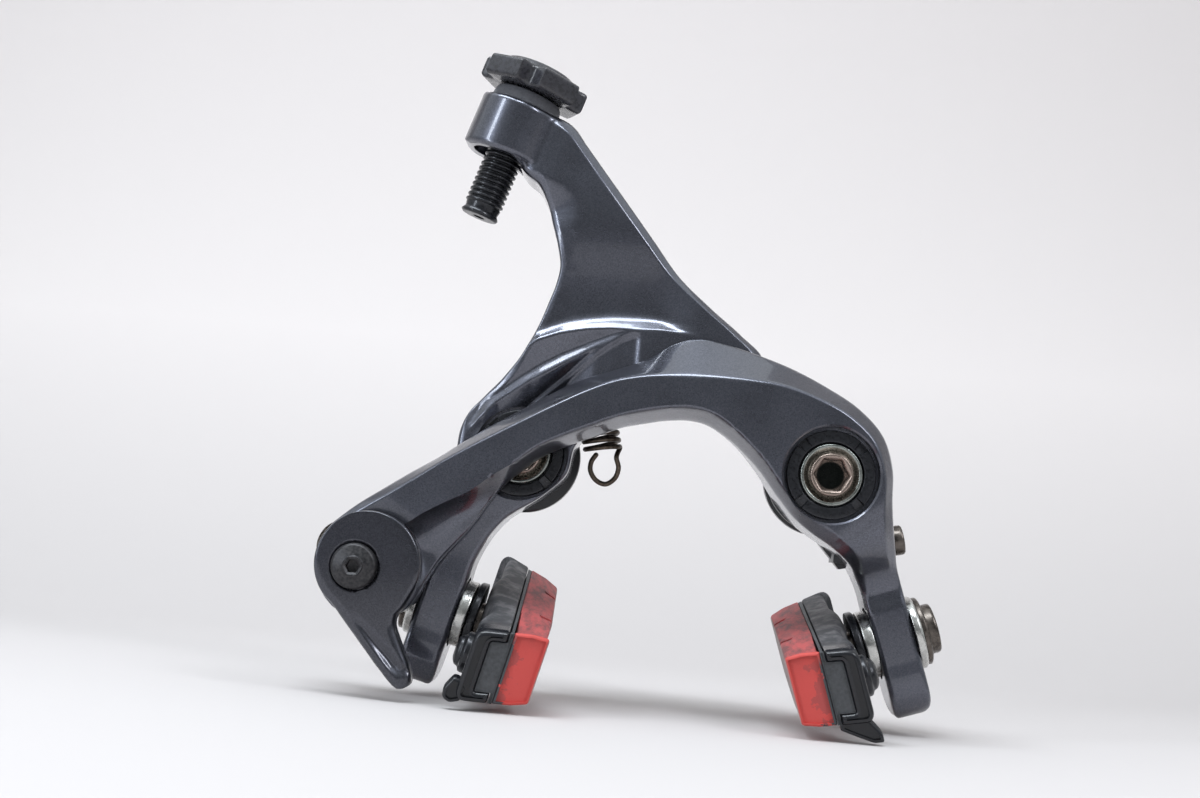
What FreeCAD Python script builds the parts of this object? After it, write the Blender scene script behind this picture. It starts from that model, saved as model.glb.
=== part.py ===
"""Bicycle rim brake caliper, bolted directly to the frame at its two pivots.

Millimetres and degrees. The viewer stands in front of the caliper: +X is right, +Z is up and
+Y goes back to the frame. The origin is on the rear seating plane, midway between the pivots.
"""
import FreeCAD, Part
import math
import os
from types import SimpleNamespace

import Sketcher
from FreeCAD import Placement, Rotation, Vector

doc = FreeCAD.newDocument("rim_brake_caliper")
sheet = doc.addObject("Spreadsheet::Sheet", "sizes")

# Driving dimensions: name, size in millimetres or degrees, and what it measures.
DRIVING_SIZES = [
    ("pivot_spacing", 54, "between the two mounting bolts"),
    ("running_gap", 0.3, "between faces that move past each other"),
    ("fit_clearance", 0.05, "radial clearance of every turning or sliding fit"),
    ("plate_thickness", 3, "booster plate"),
    ("plate_band", 9, "width of the booster plate's arch"),
    ("plate_rise", 15, "height of the arch's middle line above the pivots"),
    ("stud_length", 10, "mounting bolt behind the seating plane"),
    ("bolt_radius", 3, "M6 mounting bolt"),
    ("shank_proud", 0.3, "plain shank of a mounting bolt behind the seating plane"),
    ("bolt_head_radius", 3.7, "mounting bolt head"),
    ("bolt_head_height", 1.8, "mounting bolt head"),
    ("socket_across", 5, "hex socket of the mounting bolts, across flats"),
    ("axle_radius", 4.5, "sleeve on which an arm turns"),
    ("bush_wall", 1, "bush pressed into an arm"),
    ("boss_radius", 10.2, "pivot boss of an arm"),
    ("boss_proud", 0.4, "machined face of a boss above the forging around it"),
    ("counterbore_radius", 8.25, "recess in the front of a boss"),
    ("counterbore_depth", 4, "recess in the front of a boss"),
    ("ring_radius", 7.66, "spanner ring"),
    ("ring_height", 2.6, "spanner ring"),
    ("ring_window", 5.6, "radius of the spanner ring's front opening"),
    ("cup_radius", 5.3, "dished washer under a mounting bolt head"),
    ("cup_height", 1.6, "dished washer under a mounting bolt head"),
    ("cup_base", 0.6, "floor of the dished washer"),
    ("housing_arm_depth", 12, "front to back of the arm that holds the adjuster"),
    ("layer_gap", 0.7, "between the two arms where they cross"),
    ("cable_arm_depth", 8.5, "front to back of the crossing arm"),
    ("cable_boss_front", 24, "front of the right boss, from the seating plane"),
    ("seat_thickness", 3, "spring seat behind the right boss"),
    ("lug_thickness", 2.2, "lug of the spring seat that the centring screw meets"),
    ("lug_length", 4.2, "lug of the spring seat that the centring screw meets"),
    ("lug_clearance", 0.5, "around the lug in the arm"),
    ("end_boss_radius", 9.7, "left end of the cable arm"),
    ("lever_radius", 9, "disc of the quick release lever"),
    ("lever_thickness", 3.6, "disc of the quick release lever"),
    ("journal_radius", 6.3, "cam journal of the lever in the arm"),
    ("pin_offset", 2.1, "eccentric pin from the middle of the journal"),
    ("pin_radius", 2.5, "eccentric pin"),
    ("pin_head_radius", 3.9, "button head of the eccentric pin"),
    ("anchor_radius", 4.9, "cable anchor around the clamp bolt"),
    ("anchor_neck", 4.4, "cable anchor around the eccentric pin"),
    ("anchor_depth", 6, "swivelling cable anchor"),
    ("clamp_offset", 4.1, "cable clamp bolt to the left of the eccentric pin"),
    ("clamp_rise", 2.8, "cable clamp bolt above the eccentric pin"),
    ("clamp_plate_radius", 4.2, "cable clamp plate"),
    ("clamp_plate_thickness", 1.2, "cable clamp plate"),
    ("clamp_bolt_radius", 2, "M4 cable clamp bolt"),
    ("clamp_head_radius", 3.5, "cable clamp bolt head"),
    ("clamp_head_height", 3, "cable clamp bolt head"),
    ("cable_radius", 0.8, "groove for the inner cable"),
    ("link_height", 16, "link roller above the line between the pivots"),
    ("link_pin_radius", 1.6, "link pin"),
    ("link_roller_radius", 2.8, "link roller"),
    ("closing_angle", 16, "how far each arm closes"),
    ("adjuster_lean", 18, "adjuster axis from vertical"),
    ("adjuster_boss_radius", 7.9, "top boss of the housing arm"),
    ("adjuster_boss_height", 9.9, "top boss of the housing arm"),
    ("stem_radius", 3.5, "threaded adjuster stem"),
    ("thread_pitch", 1, "adjuster thread"),
    ("thread_depth", 0.42, "adjuster thread"),
    ("stem_below", 11.6, "stem that shows below the boss"),
    ("stem_flange", 1.5, "plain end of the stem"),
    ("stem_travel", 8, "how far the stem lifts"),
    ("cable_hole_radius", 1.1, "through the stem"),
    ("socket_bore_radius", 2.55, "seat of the cable housing in the stem"),
    ("socket_bore_depth", 7, "seat of the cable housing in the stem"),
    ("seal_radius", 6.6, "seal under the knob"),
    ("seal_height", 2.4, "seal under the knob"),
    ("knob_radius", 9.9, "adjuster knob over its lobes"),
    ("knob_height", 4.5, "adjuster knob"),
    ("knob_scallop", 3.4, "radius of the hollow between two lobes"),
    ("leg_thickness", 7, "arm leg along the shoe bolt"),
    ("leg_width", 11.2, "arm leg front to back"),
    ("leg_below", 13.8, "arm leg below the shoe bolt"),
    ("leg_above", 10.6, "straight part of the leg above the shoe bolt"),
    ("leg_rounding", 1.4, "radius around the edges of a leg"),
    ("shoe_plane", 9, "shoe bolts in front of the seating plane"),
    ("shoe_travel", 3.2, "shoe height adjustment each way"),
    ("left_tilt", 14.5, "lean of the left leg"),
    ("right_tilt", 19, "lean of the right leg"),
    ("left_pitch", 8, "left shoe, front end down"),
    ("right_pitch", 5.5, "right shoe, front end down"),
    ("left_toe", 4, "left shoe, front end towards the rim"),
    ("right_toe", 3, "right shoe, front end towards the rim"),
    ("toe_gap", 0.5, "room that the toe angle takes behind the holder"),
    ("shoe_bolt_radius", 3, "M6 shoe bolt"),
    ("shoe_head_radius", 4.4, "shoe bolt head"),
    ("shoe_head_height", 1.8, "shoe bolt head"),
    ("shoe_flange_radius", 6, "flange of the shoe bolt head"),
    ("shoe_flange_height", 1.1, "flange of the shoe bolt head"),
    ("outer_washer_radius", 6.5, "washer under the flange"),
    ("outer_washer_height", 1.5, "washer under the flange"),
    ("inner_washer_radius", 6, "domed washer against the leg"),
    ("inner_washer_height", 2, "domed washer against the leg"),
    ("cup_washer_radius", 6.4, "hollow washer against the holder"),
    ("cup_washer_height", 1.6, "hollow washer against the holder"),
    ("holder_length", 50, "pad holder"),
    ("holder_height", 12.4, "pad holder"),
    ("holder_depth", 5.4, "pad holder"),
    ("holder_wall", 1.8, "pad holder"),
    ("holder_back", 2.8, "pad holder"),
    ("holder_front", 26.6, "shoe bolt to the open end of the holder"),
    ("fin_length", 5, "guide fin along the holder"),
    ("pad_height", 12.4, "brake pad"),
    ("pad_thickness", 6.6, "red compound outside the holder"),
    ("pad_groove", 1.6, "width of the water grooves"),
    ("set_screw_radius", 3.5, "domed head of the pad screw"),
    ("set_screw_height", 2.4, "domed head of the pad screw"),
    ("set_screw_place", 20.5, "pad screw in front of the shoe bolt"),
    ("centring_head_radius", 2.65, "centring screw"),
    ("centring_head_height", 2, "centring screw"),
    ("centring_shank_radius", 1.5, "centring screw"),
    ("centring_shank_length", 8, "centring screw"),
    ("spring_wire", 0.9, "diameter of the spring wire"),
    ("spring_radius", 3.1, "middle line of the visible coil"),
    ("spring_pitch", 1.35, "visible coil"),
    ("spring_lean", 14, "visible coil's axis from vertical"),
    ("torsion_wire", 1.2, "diameter of the hidden spring wire"),
    ("torsion_radius", 7.6, "middle line of the hidden coil"),
    ("torsion_pitch", 1.75, "hidden coil"),
]


class Size:
    """A number together with the sheet formula that gives it."""

    def __init__(self, value, formula):
        self.value = float(value)
        self.formula = formula

    def __float__(self):
        return self.value

    def __add__(self, other):
        other = as_size(other)
        return Size(self.value + other.value, f"({self.formula} + {other.formula})")

    def __sub__(self, other):
        other = as_size(other)
        return Size(self.value - other.value, f"({self.formula} - {other.formula})")

    def __mul__(self, other):
        other = as_size(other)
        return Size(self.value * other.value, f"({self.formula} * {other.formula})")

    def __truediv__(self, other):
        other = as_size(other)
        return Size(self.value / other.value, f"({self.formula} / {other.formula})")

    def __neg__(self):
        return as_size(0) - self

    def __radd__(self, other):
        return as_size(other) + self

    def __rsub__(self, other):
        return as_size(other) - self

    def __rmul__(self, other):
        return as_size(other) * self


def as_size(number):
    """A plain number as a Size, and a Size as it is."""
    if isinstance(number, Size):
        return number
    return Size(number, f"({number})")


def fill_sheet():
    """Write the driving sizes to the sheet and return them by name."""
    sizes = {}
    for row, (name, value, meaning) in enumerate(DRIVING_SIZES, start=1):
        sheet.set(f"A{row}", str(value))
        sheet.setAlias(f"A{row}", name)
        sheet.set(f"B{row}", meaning)
        sizes[name] = Size(value, f"sizes.{name}")
    doc.recompute()
    return SimpleNamespace(**sizes)


dim = fill_sheet()

# Rotation that stands a piece drawn in its own X, Y plane up in front of the viewer, so that
# its own Z is the height above the seating plane, towards the viewer.
FACING = Rotation(Vector(1, 0, 0), 90)
PARTS = []
OVERCUT = 1.0


def bind(item, prop, size):
    """Give a property its size, and keep it tied to the sheet."""
    size = as_size(size)
    if "." not in prop:
        setattr(item, prop, size.value)
    item.setExpression(prop, size.formula)


def finish(item, label, place=None):
    """Name a finished sub-part and put it in its place."""
    item.Label = label
    if place is not None:
        item.Placement = place
    PARTS.append(item)
    return item


def origin_plane(body, role):
    """The body's own origin plane or axis with this role."""
    for feature in body.Origin.OriginFeatures:
        if feature.Role == role:
            return feature
    raise ValueError(role)


def outline_sketch(body, name, plane, corners):
    """A closed outline of straight edges; each corner is a pair of sizes."""
    sketch = body.newObject("Sketcher::SketchObject", name)
    sketch.AttachmentSupport = (origin_plane(body, plane), [""])
    sketch.MapMode = "FlatFace"
    points = [Vector(float(a), float(b), 0) for a, b in corners]
    count = len(points)
    for index, point in enumerate(points):
        sketch.addGeometry(Part.LineSegment(point, points[(index + 1) % count]), False)
    for index in range(count):
        sketch.addConstraint(Sketcher.Constraint("Coincident", index, 2, (index + 1) % count, 1))
    for index, pair in enumerate(corners):
        for kind, size in zip(("DistanceX", "DistanceY"), pair):
            size = as_size(size)
            number = sketch.addConstraint(Sketcher.Constraint(kind, index, 1, size.value))
            sketch.setExpression(f"Constraints[{number}]", size.formula)
    return sketch


def new_body(name):
    return doc.addObject("PartDesign::Body", name)


def turned(name, outline):
    """A body turned about its own Z axis; outline corners are (radius, height)."""
    body = new_body(name)
    sketch = outline_sketch(body, name + "_outline", "XZ_Plane", outline)
    turn = body.newObject("PartDesign::Revolution", name + "_turn")
    turn.Profile = sketch
    turn.ReferenceAxis = (sketch, ["V_Axis"])
    turn.Angle = 360
    sketch.Visibility = False
    doc.recompute()
    return body


def primitive(body, kind, name, sizes, at=(0, 0, 0), turn=Rotation()):
    """Add or subtract a PartDesign primitive, placed from the body's own origin."""
    feature = body.newObject("PartDesign::" + kind, name)
    for prop, size in sizes.items():
        bind(feature, prop, size)
    feature.AttachmentSupport = (origin_plane(body, "XY_Plane"), [""])
    feature.MapMode = "FlatFace"
    feature.AttachmentOffset = Placement(Vector(*[float(value) for value in at]), turn)
    for axis, size in zip("xyz", at):
        bind(feature, "AttachmentOffset.Base." + axis, size)
    doc.recompute()
    return feature


def hex_socket(body, across, depth, top):
    """Sink a hexagon socket into the top of a turned body."""
    corner = across / math.sqrt(3)
    sizes = {"Circumradius": corner, "Height": depth}
    cut = primitive(body, "SubtractivePrism", body.Name + "_socket", sizes, (0, 0, top - depth))
    cut.Polygon = 6
    doc.recompute()


def cylinder(radius, low, high, x=0.0, y=0.0):
    """A plain round solid in the facing frame, between two heights."""
    base = Vector(float(x), float(y), float(low))
    return Part.makeCylinder(float(radius), float(high) - float(low), base)


# Pivots

RIGHT_PIVOT = dim.pivot_spacing / 2
LEFT_PIVOT = -RIGHT_PIVOT
plate_front = dim.plate_thickness
housing_back = plate_front + dim.running_gap
housing_front = housing_back + dim.housing_arm_depth
seat_back = plate_front + dim.running_gap
seat_front = seat_back + dim.seat_thickness
cable_back = housing_front + dim.layer_gap
cable_front = cable_back + dim.cable_arm_depth
bolt_shank = dim.bolt_radius + 2 * dim.fit_clearance
bolt_hole = dim.bolt_radius + 4 * dim.fit_clearance
bush_bore = dim.axle_radius + dim.fit_clearance
bush_radius = bush_bore + dim.bush_wall


def facing_place(x):
    """Place of a piece that stands on the line between the pivots, bound to the sheet."""
    return Placement(Vector(float(x), 0, 0), FACING)


def stand_at(item, label, x):
    """Finish a piece whose own origin is on a pivot axis in the seating plane."""
    finish(item, label, facing_place(x))
    bind(item, "Placement.Base.x", x)
    return item


def pivot_stack(side, x, boss_back, boss_front):
    """The pieces on one pivot axis, from the plate to the bolt head."""
    floor = boss_front - dim.counterbore_depth
    ring_back = floor + dim.running_gap
    ring_step = ring_back + dim.ring_height / 2
    axle_top = ring_step
    cup_top = axle_top + dim.cup_height
    head_base = axle_top + dim.cup_base
    head_top = head_base + dim.bolt_head_height

    axle = turned("pivot_axle_" + side, [
        (bolt_hole, plate_front), (dim.axle_radius, plate_front),
        (dim.axle_radius, axle_top), (bolt_hole, axle_top)])
    stand_at(axle, "pivot_axle_" + side, x)

    bush = turned("pivot_bush_" + side, [
        (bush_bore, boss_back), (bush_radius, boss_back), (bush_radius, floor), (bush_bore, floor)])
    stand_at(bush, "pivot_bush_" + side, x)

    ring = turned("spanner_ring_" + side, [
        (dim.axle_radius, ring_back), (dim.ring_radius, ring_back),
        (dim.ring_radius, ring_back + dim.ring_height), (dim.ring_window, ring_back + dim.ring_height),
        (dim.ring_window, ring_step), (dim.axle_radius, ring_step)])
    slot_width = 2.0
    slot_depth = dim.ring_height / 3
    slot = primitive(ring, "SubtractiveBox", "spanner_slot_" + side,
                     {"Length": 3.0, "Width": slot_width, "Height": slot_depth + OVERCUT},
                     (dim.ring_radius - 1.1, -slot_width / 2, ring_back + dim.ring_height - slot_depth))
    slots = ring.newObject("PartDesign::PolarPattern", "spanner_slots_" + side)
    slots.Originals = [slot]
    slots.Axis = (origin_plane(ring, "Z_Axis"), [""])
    slots.Angle = 360
    slots.Occurrences = 6
    ring.Tip = slots
    doc.recompute()
    stand_at(ring, "spanner_ring_" + side, x)

    dish = 0.5
    cup = turned("cup_washer_" + side, [
        (bolt_hole, axle_top), (dim.cup_radius, axle_top), (dim.cup_radius, cup_top),
        (dim.cup_radius - dish, cup_top), (dim.bolt_head_radius + 0.2, head_base),
        (bolt_hole, head_base)])
    stand_at(cup, "cup_washer_" + side, x)

    lead = 0.7
    bolt = turned("mounting_bolt_" + side, [
        (0, -dim.stud_length), (dim.bolt_radius - lead, -dim.stud_length),
        (dim.bolt_radius, -dim.stud_length + lead), (dim.bolt_radius, -dim.shank_proud),
        (bolt_shank, -dim.shank_proud), (bolt_shank, head_base),
        (dim.bolt_head_radius, head_base), (dim.bolt_head_radius, head_top - 0.4),
        (dim.bolt_head_radius - 0.4, head_top), (0, head_top)])
    hex_socket(bolt, dim.socket_across, 3.0, head_top)
    stand_at(bolt, "mounting_bolt_" + side, x)


def booster_plate():
    """Arched plate that ties the two pivots together behind the arms."""
    spread = RIGHT_PIVOT
    rise = dim.plate_rise
    radius = (spread * spread + rise * rise) / (2 * rise)
    centre = rise - radius
    top = float(plate_front)
    middle = Vector(0, float(centre), 0)
    outer = Part.makeCylinder(float(radius + dim.plate_band / 2), top, middle)
    inner = Part.makeCylinder(float(radius - dim.plate_band / 2), top, middle)
    upper = Part.makeBox(4 * float(radius), 4 * float(radius), top, Vector(-2 * float(radius), 0, 0))
    plate = outer.cut(inner).common(upper)
    for x in (LEFT_PIVOT, RIGHT_PIVOT):
        plate = plate.fuse(cylinder(dim.boss_radius, 0, top, x))
    for x in (LEFT_PIVOT, RIGHT_PIVOT):
        plate = plate.cut(cylinder(bolt_hole, -OVERCUT, top + OVERCUT, x))
    item = doc.addObject("Part::Feature", "booster_plate")
    item.Shape = plate.removeSplitter()
    finish(item, "booster_plate", Placement(Vector(0, 0, 0), FACING))


# Arms: each is a bar lofted through eight-sided sections. A section stands across the bar on
# the line from a point of its lower or inner edge to a point of its upper or outer edge.

def section(inner, outer, back, front, inner_bevel, outer_bevel):
    """Closed section; a bevel is (along the section line, front to back)."""
    start = Vector(inner[0], inner[1], 0)
    end = Vector(outer[0], outer[1], 0)
    span = (end - start).Length
    along = (end - start) * (1 / span)
    edge = 0.8
    corners = [
        (edge, back), (0, back + edge), (0, front - inner_bevel[1]), (inner_bevel[0], front),
        (span - outer_bevel[0], front), (span, front - outer_bevel[1]),
        (span, back + edge), (span - edge, back)]
    points = [start + along * step + Vector(0, 0, height) for step, height in corners]
    return Part.makePolygon(points + points[:1])


def lofted_bar(stations):
    """Smooth solid through the sections."""
    wires = [section(*station) for station in stations]
    return Part.makeLoft(wires, True, False)


def leg_frame(side_in, tilt):
    """Directions of a leg in the facing frame: inward along the shoe bolt, and up the leg."""
    lean = math.radians(float(tilt))
    inward = Vector(side_in * math.cos(lean), -math.sin(lean), 0)
    upward = Vector(side_in * math.sin(lean), math.cos(lean), 0)
    return inward, upward


def leg_block(centre, side_in, tilt, width, low, high, front, back):
    """Straight block along a leg, given by its thickness and its reach up the leg."""
    inward, upward = leg_frame(side_in, tilt)
    half = float(width) / 2
    corners = []
    for across, along in ((-half, low), (half, low), (half, high), (-half, high)):
        corners.append(centre + inward * across + upward * along + Vector(0, 0, float(back)))
    face = Part.Face(Part.makePolygon(corners + corners[:1]))
    return face.extrude(Vector(0, 0, float(front) - float(back)))


def leg(centre, side_in, tilt):
    """Flat lower end of an arm with a round foot, and the tool that cuts its shoe slot."""
    inward, upward = leg_frame(side_in, tilt)
    half_width = float(dim.leg_width) / 2
    middle = float(dim.shoe_plane)
    thickness = float(dim.leg_thickness)
    foot = float(dim.leg_below) - half_width
    block = leg_block(centre, side_in, tilt, thickness, -foot, float(dim.leg_above),
                      middle + half_width, middle - half_width)
    foot_middle = centre - upward * foot + Vector(0, 0, middle)
    round_foot = Part.makeCylinder(half_width, thickness, foot_middle - inward * (thickness / 2), inward)
    blade = block.fuse(round_foot).removeSplitter()
    rims = []
    for edge in blade.Edges:
        spot = edge.valueAt((edge.FirstParameter + edge.LastParameter) / 2) - centre
        if abs(abs(spot.dot(inward)) - thickness / 2) < 0.01 and spot.dot(upward) < float(dim.leg_above) - 0.1:
            rims.append(edge)
    blade = blade.makeFillet(float(dim.leg_rounding), rims)
    slot_half = float(dim.shoe_bolt_radius + dim.running_gap)
    travel = float(dim.shoe_travel)
    reach = thickness + 2 * OVERCUT
    slot = leg_block(centre, side_in, tilt, reach, -travel, travel, middle + slot_half, middle - slot_half)
    for end in (-travel, travel):
        base = centre + upward * end - inward * (reach / 2) + Vector(0, 0, middle)
        slot = slot.fuse(Part.makeCylinder(slot_half, reach, base, inward))
    return blade, slot


# Places in the facing frame, measured from the arm's own pivot.
LEVER_CENTRE = Vector(-77.2, -21.4, 0)
RIGHT_SHOE = Vector(14.0, -27.3, 0)
LEFT_SHOE = Vector(-12.3, -28.0, 0)
ADJUSTER_FOOT = Vector(-7.2, 56.0, 0)
CENTRING_HEAD = Vector(12.9, -10.2, 0)
SPRING_CENTRE = Vector(14.0, 3.4, 0)
BEAK = [(-8.8, -1.9), (-8.1, -4.0), (-6.1, -7.4), (-2.2, -12.1), (1.5, -15.9), (4.4, -18.5),
        (6.4, -20.2), (7.3, -20.5), (8.6, -20.0), (9.4, -19.1), (9.0, -17.2), (8.1, -14.2),
        (6.7, -11.7), (6.3, -9.6), (6.7, -7.9), (7.4, -7.1), (7.9, -4.3)]
LUG_CORNER = Vector(2.6, -14.8, 0)
LUG_ABOVE_SCREW = 2.0
SEAT_TAIL = [(-6.5, -7.2), (-2.4, -9.2), (-1.2, -9.9), (4.2, -15.9), (6.4, -15.4), (9.0, -4.0)]

lever_angle = math.radians(194)
PIN_CENTRE = LEVER_CENTRE + Vector(math.cos(lever_angle), math.sin(lever_angle), 0) * float(dim.pin_offset)
CENTRING_AXIS = Vector(0.97, 0.243, 0)


def leg_top(centre, side_in, tilt):
    """Section across the top of a leg, a little smaller than the leg, where the bar ends in it."""
    inward, upward = leg_frame(side_in, tilt)
    inset = 0.06
    half = float(dim.leg_thickness) / 2 - inset
    middle = centre + upward * (float(dim.leg_above) - 0.4)
    low = float(dim.shoe_plane - dim.leg_width / 2) + inset
    high = float(dim.shoe_plane + dim.leg_width / 2) - inset
    soft = (0.9, 0.9)
    inner, outer = middle + inward * half, middle - inward * half
    return (inner.x, inner.y), (outer.x, outer.y), low, high, soft, soft


def cable_arm_stations():
    """Sections of the crossing arm from its left end, over the arch and down the right leg."""
    back = float(cable_back + dim.boss_proud)
    front = float(cable_front)
    boss = float(dim.cable_boss_front - dim.boss_proud)
    seat = float(seat_front + dim.boss_proud)
    soft = (1.2, 1.6)
    crest = (2.2, 4.0)
    roof = (6.8, 7.4)
    return [
        ((-72.5, -25.0), (-82.0, -15.5), back, front - 1.0, soft, crest),
        ((-67.8, -19.0), (-76.0, -8.4), back, front - 0.6, (5.0, 5.0), crest),
        ((-63.0, -12.8), (-69.3, -3.6), back, front, (3.0, 4.0), crest),
        ((-58.0, -7.6), (-63.1, 1.6), back, front, soft, crest),
        ((-51.0, -1.2), (-55.3, 6.7), back, front, soft, crest),
        ((-42.0, 3.2), (-46.4, 11.9), back, front, soft, (2.6, 4.6)),
        ((-34.0, 6.3), (-36.6, 16.2), back, front, soft, (4.0, 6.0)),
        ((-27.0, 7.7), (-28.0, 21.3), back, front, soft, roof),
        ((-20.6, 7.0), (-19.5, 21.6), back, front, soft, roof),
        ((-15.8, 3.7), (-11.6, 20.2), back, front, soft, (5.6, 6.4)),
        ((-11.5, -0.5), (-4.4, 17.4), back, front, soft, (4.2, 5.6)),
        ((-7.5, -5.0), (3.2, 13.4), back - 4, boss, soft, (3.0, 5.0)),
        ((-3.6, -8.6), (8.6, 7.6), seat, boss, soft, (2.6, 5.0)),
        ((1.6, -11.6), (10.8, -1.0), seat, boss - 1.2, (1.6, 2.4), (2.4, 4.0)),
        ((5.4, -15.4), (12.4, -10.6), seat - 0.6, boss - 5.0, soft, (1.8, 2.4)),
        leg_top(RIGHT_SHOE, -1, dim.right_tilt),
    ]


def housing_arm_stations():
    """Sections of the upright arm from the adjuster boss down to the left leg."""
    back = float(housing_back + dim.boss_proud)
    front = float(housing_front - dim.boss_proud)
    soft = (1.6, 2.2)
    brow = (2.2, 3.4)
    return [
        ((2.4, 59.6), (-11.6, 55.2), back, front, soft, soft),
        ((7.3, 55.6), (-4.0, 50.4), back, front, brow, brow),
        ((12.4, 50.0), (0.4, 46.4), back, front, brow, brow),
        ((18.0, 43.0), (3.0, 40.8), back, front, brow, brow),
        ((23.6, 36.2), (4.2, 34.6), back, front, brow, brow),
        ((29.5, 29.9), (3.4, 28.2), back, front, brow, brow),
        ((36.5, 24.5), (0.6, 21.4), back, front, brow, brow),
        ((42.0, 18.8), (-3.0, 14.8), back, front, soft, brow),
        ((40.0, 12.4), (-6.0, 11.4), back, front, soft, brow),
        ((26.0, 9.6), (-8.6, 8.0), back, front, soft, soft),
        ((15.6, 8.4), (-10.6, 4.4), back, front, soft, soft),
        ((9.4, 1.6), (-11.4, 0.4), back, front, soft, soft),
        ((7.4, -4.4), (-11.8, -4.4), back, front, soft, soft),
        ((2.4, -9.6), (-12.2, -8.6), back, front, soft, soft),
        ((-2.9, -13.6), (-12.6, -12.2), back, front, soft, soft),
        leg_top(LEFT_SHOE, 1, dim.left_tilt),
    ]


def bore_pivot(shape, back, front):
    """Cut the bush hole and the counterbore for the spanner ring."""
    floor = float(front) - float(dim.counterbore_depth)
    shape = shape.cut(cylinder(bush_radius, float(back) - 10, float(front) + OVERCUT))
    return shape.cut(cylinder(dim.counterbore_radius, floor, float(front) + 10))


def cable_arm():
    """Crossing arm: left end with the lever bearing, arch, right pivot boss and right leg."""
    front = float(cable_front)
    back = float(cable_back)
    shape = lofted_bar(cable_arm_stations())
    shape = shape.fuse(cylinder(dim.boss_radius, seat_front, dim.cable_boss_front))
    end_x, end_y = LEVER_CENTRE.x, LEVER_CENTRE.y
    shape = shape.fuse(cylinder(dim.end_boss_radius, back, front, end_x, end_y))
    blade, slot = leg(RIGHT_SHOE, -1, dim.right_tilt)
    shape = shape.fuse(blade).cut(slot)
    shape = bore_pivot(shape, seat_front, dim.cable_boss_front)
    bearing = dim.journal_radius + dim.fit_clearance
    shape = shape.cut(cylinder(bearing, back - OVERCUT, front + OVERCUT, end_x, end_y))
    shape = shape.cut(cylinder(dim.link_pin_radius, back - OVERCUT, back + 4, LINK.x, LINK.y))
    shape = shape.cut(torsion_pocket()).cut(seat_blank())
    for tool in centring_cuts():
        shape = shape.cut(tool)
    item = doc.addObject("Part::Feature", "cable_arm")
    item.Shape = shape
    stand_at(item, "cable_arm", RIGHT_PIVOT)


def torsion_pocket():
    """Ring-shaped recess behind the right boss that holds the hidden spring."""
    inner = float(dim.torsion_radius - dim.torsion_wire / 2) - 0.35
    outer = float(dim.torsion_radius + dim.torsion_wire / 2) + 0.35
    top = float(seat_front) + 7.0
    return cylinder(outer, seat_front - OVERCUT, top).cut(cylinder(inner, seat_front - OVERCUT, top))


def centring_cuts():
    """Screw hole through the arm's shoulder, and the pocket for the lug that it bears on."""
    height = float(dim.shoe_plane)
    start = CENTRING_HEAD + CENTRING_AXIS * 3 + Vector(0, 0, height)
    radius = float(dim.centring_shank_radius + dim.fit_clearance)
    hole = Part.makeCylinder(radius, 20, start, -CENTRING_AXIS)
    pocket = seat_lug(float(dim.lug_clearance))
    flat = Part.makeCylinder(float(dim.centring_head_radius + dim.lug_clearance), 6,
                             CENTRING_HEAD + Vector(0, 0, height), CENTRING_AXIS)
    return [hole, pocket, flat]


# The link roller stands midway between the pivots, where both arms lift alike.
LINK = Vector(float(LEFT_PIVOT), float(dim.link_height), 0)


def link_place(share):
    """Place of the roller in the housing arm's own frame, with the arms closed by a share."""
    turn = Rotation(Vector(0, 0, 1), -float(dim.closing_angle) * share)
    lifted = turn.multVec(LINK) + Vector(float(dim.pivot_spacing), 0, 0)
    return turn.multVec(lifted)


def link_slot():
    """Curved slot in the housing arm in which the roller runs."""
    radius = float(dim.link_roller_radius + 1.3 * dim.running_gap)
    first, middle, last = link_place(0), link_place(0.5), link_place(1)
    centre = Part.Arc(first, middle, last).toShape().Curve.Center

    def beside(place, reach):
        outward = (place - centre).normalize()
        return place + outward * reach

    def past(place, way):
        outward = (place - centre).normalize()
        return place + Vector(outward.y, -outward.x, 0) * (way * radius)

    edges = [
        Part.Arc(beside(first, radius), beside(middle, radius), beside(last, radius)).toShape(),
        Part.Arc(beside(last, radius), past(last, 1), beside(last, -radius)).toShape(),
        Part.Arc(beside(last, -radius), beside(middle, -radius), beside(first, -radius)).toShape(),
        Part.Arc(beside(first, -radius), past(first, -1), beside(first, radius)).toShape()]
    return Part.Face(Part.Wire(edges)).extrude(Vector(0, 0, float(cable_back)))


def adjuster_axis():
    """Foot and direction of the adjuster in the housing arm's facing frame."""
    lean = math.radians(float(dim.adjuster_lean))
    foot = ADJUSTER_FOOT + Vector(0, 0, float(dim.shoe_plane))
    return foot, Vector(math.sin(lean), math.cos(lean), 0)


BOSS_LOW = Size(-2.6, "(-2.6)")
boss_top = BOSS_LOW + dim.adjuster_boss_height


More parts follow.
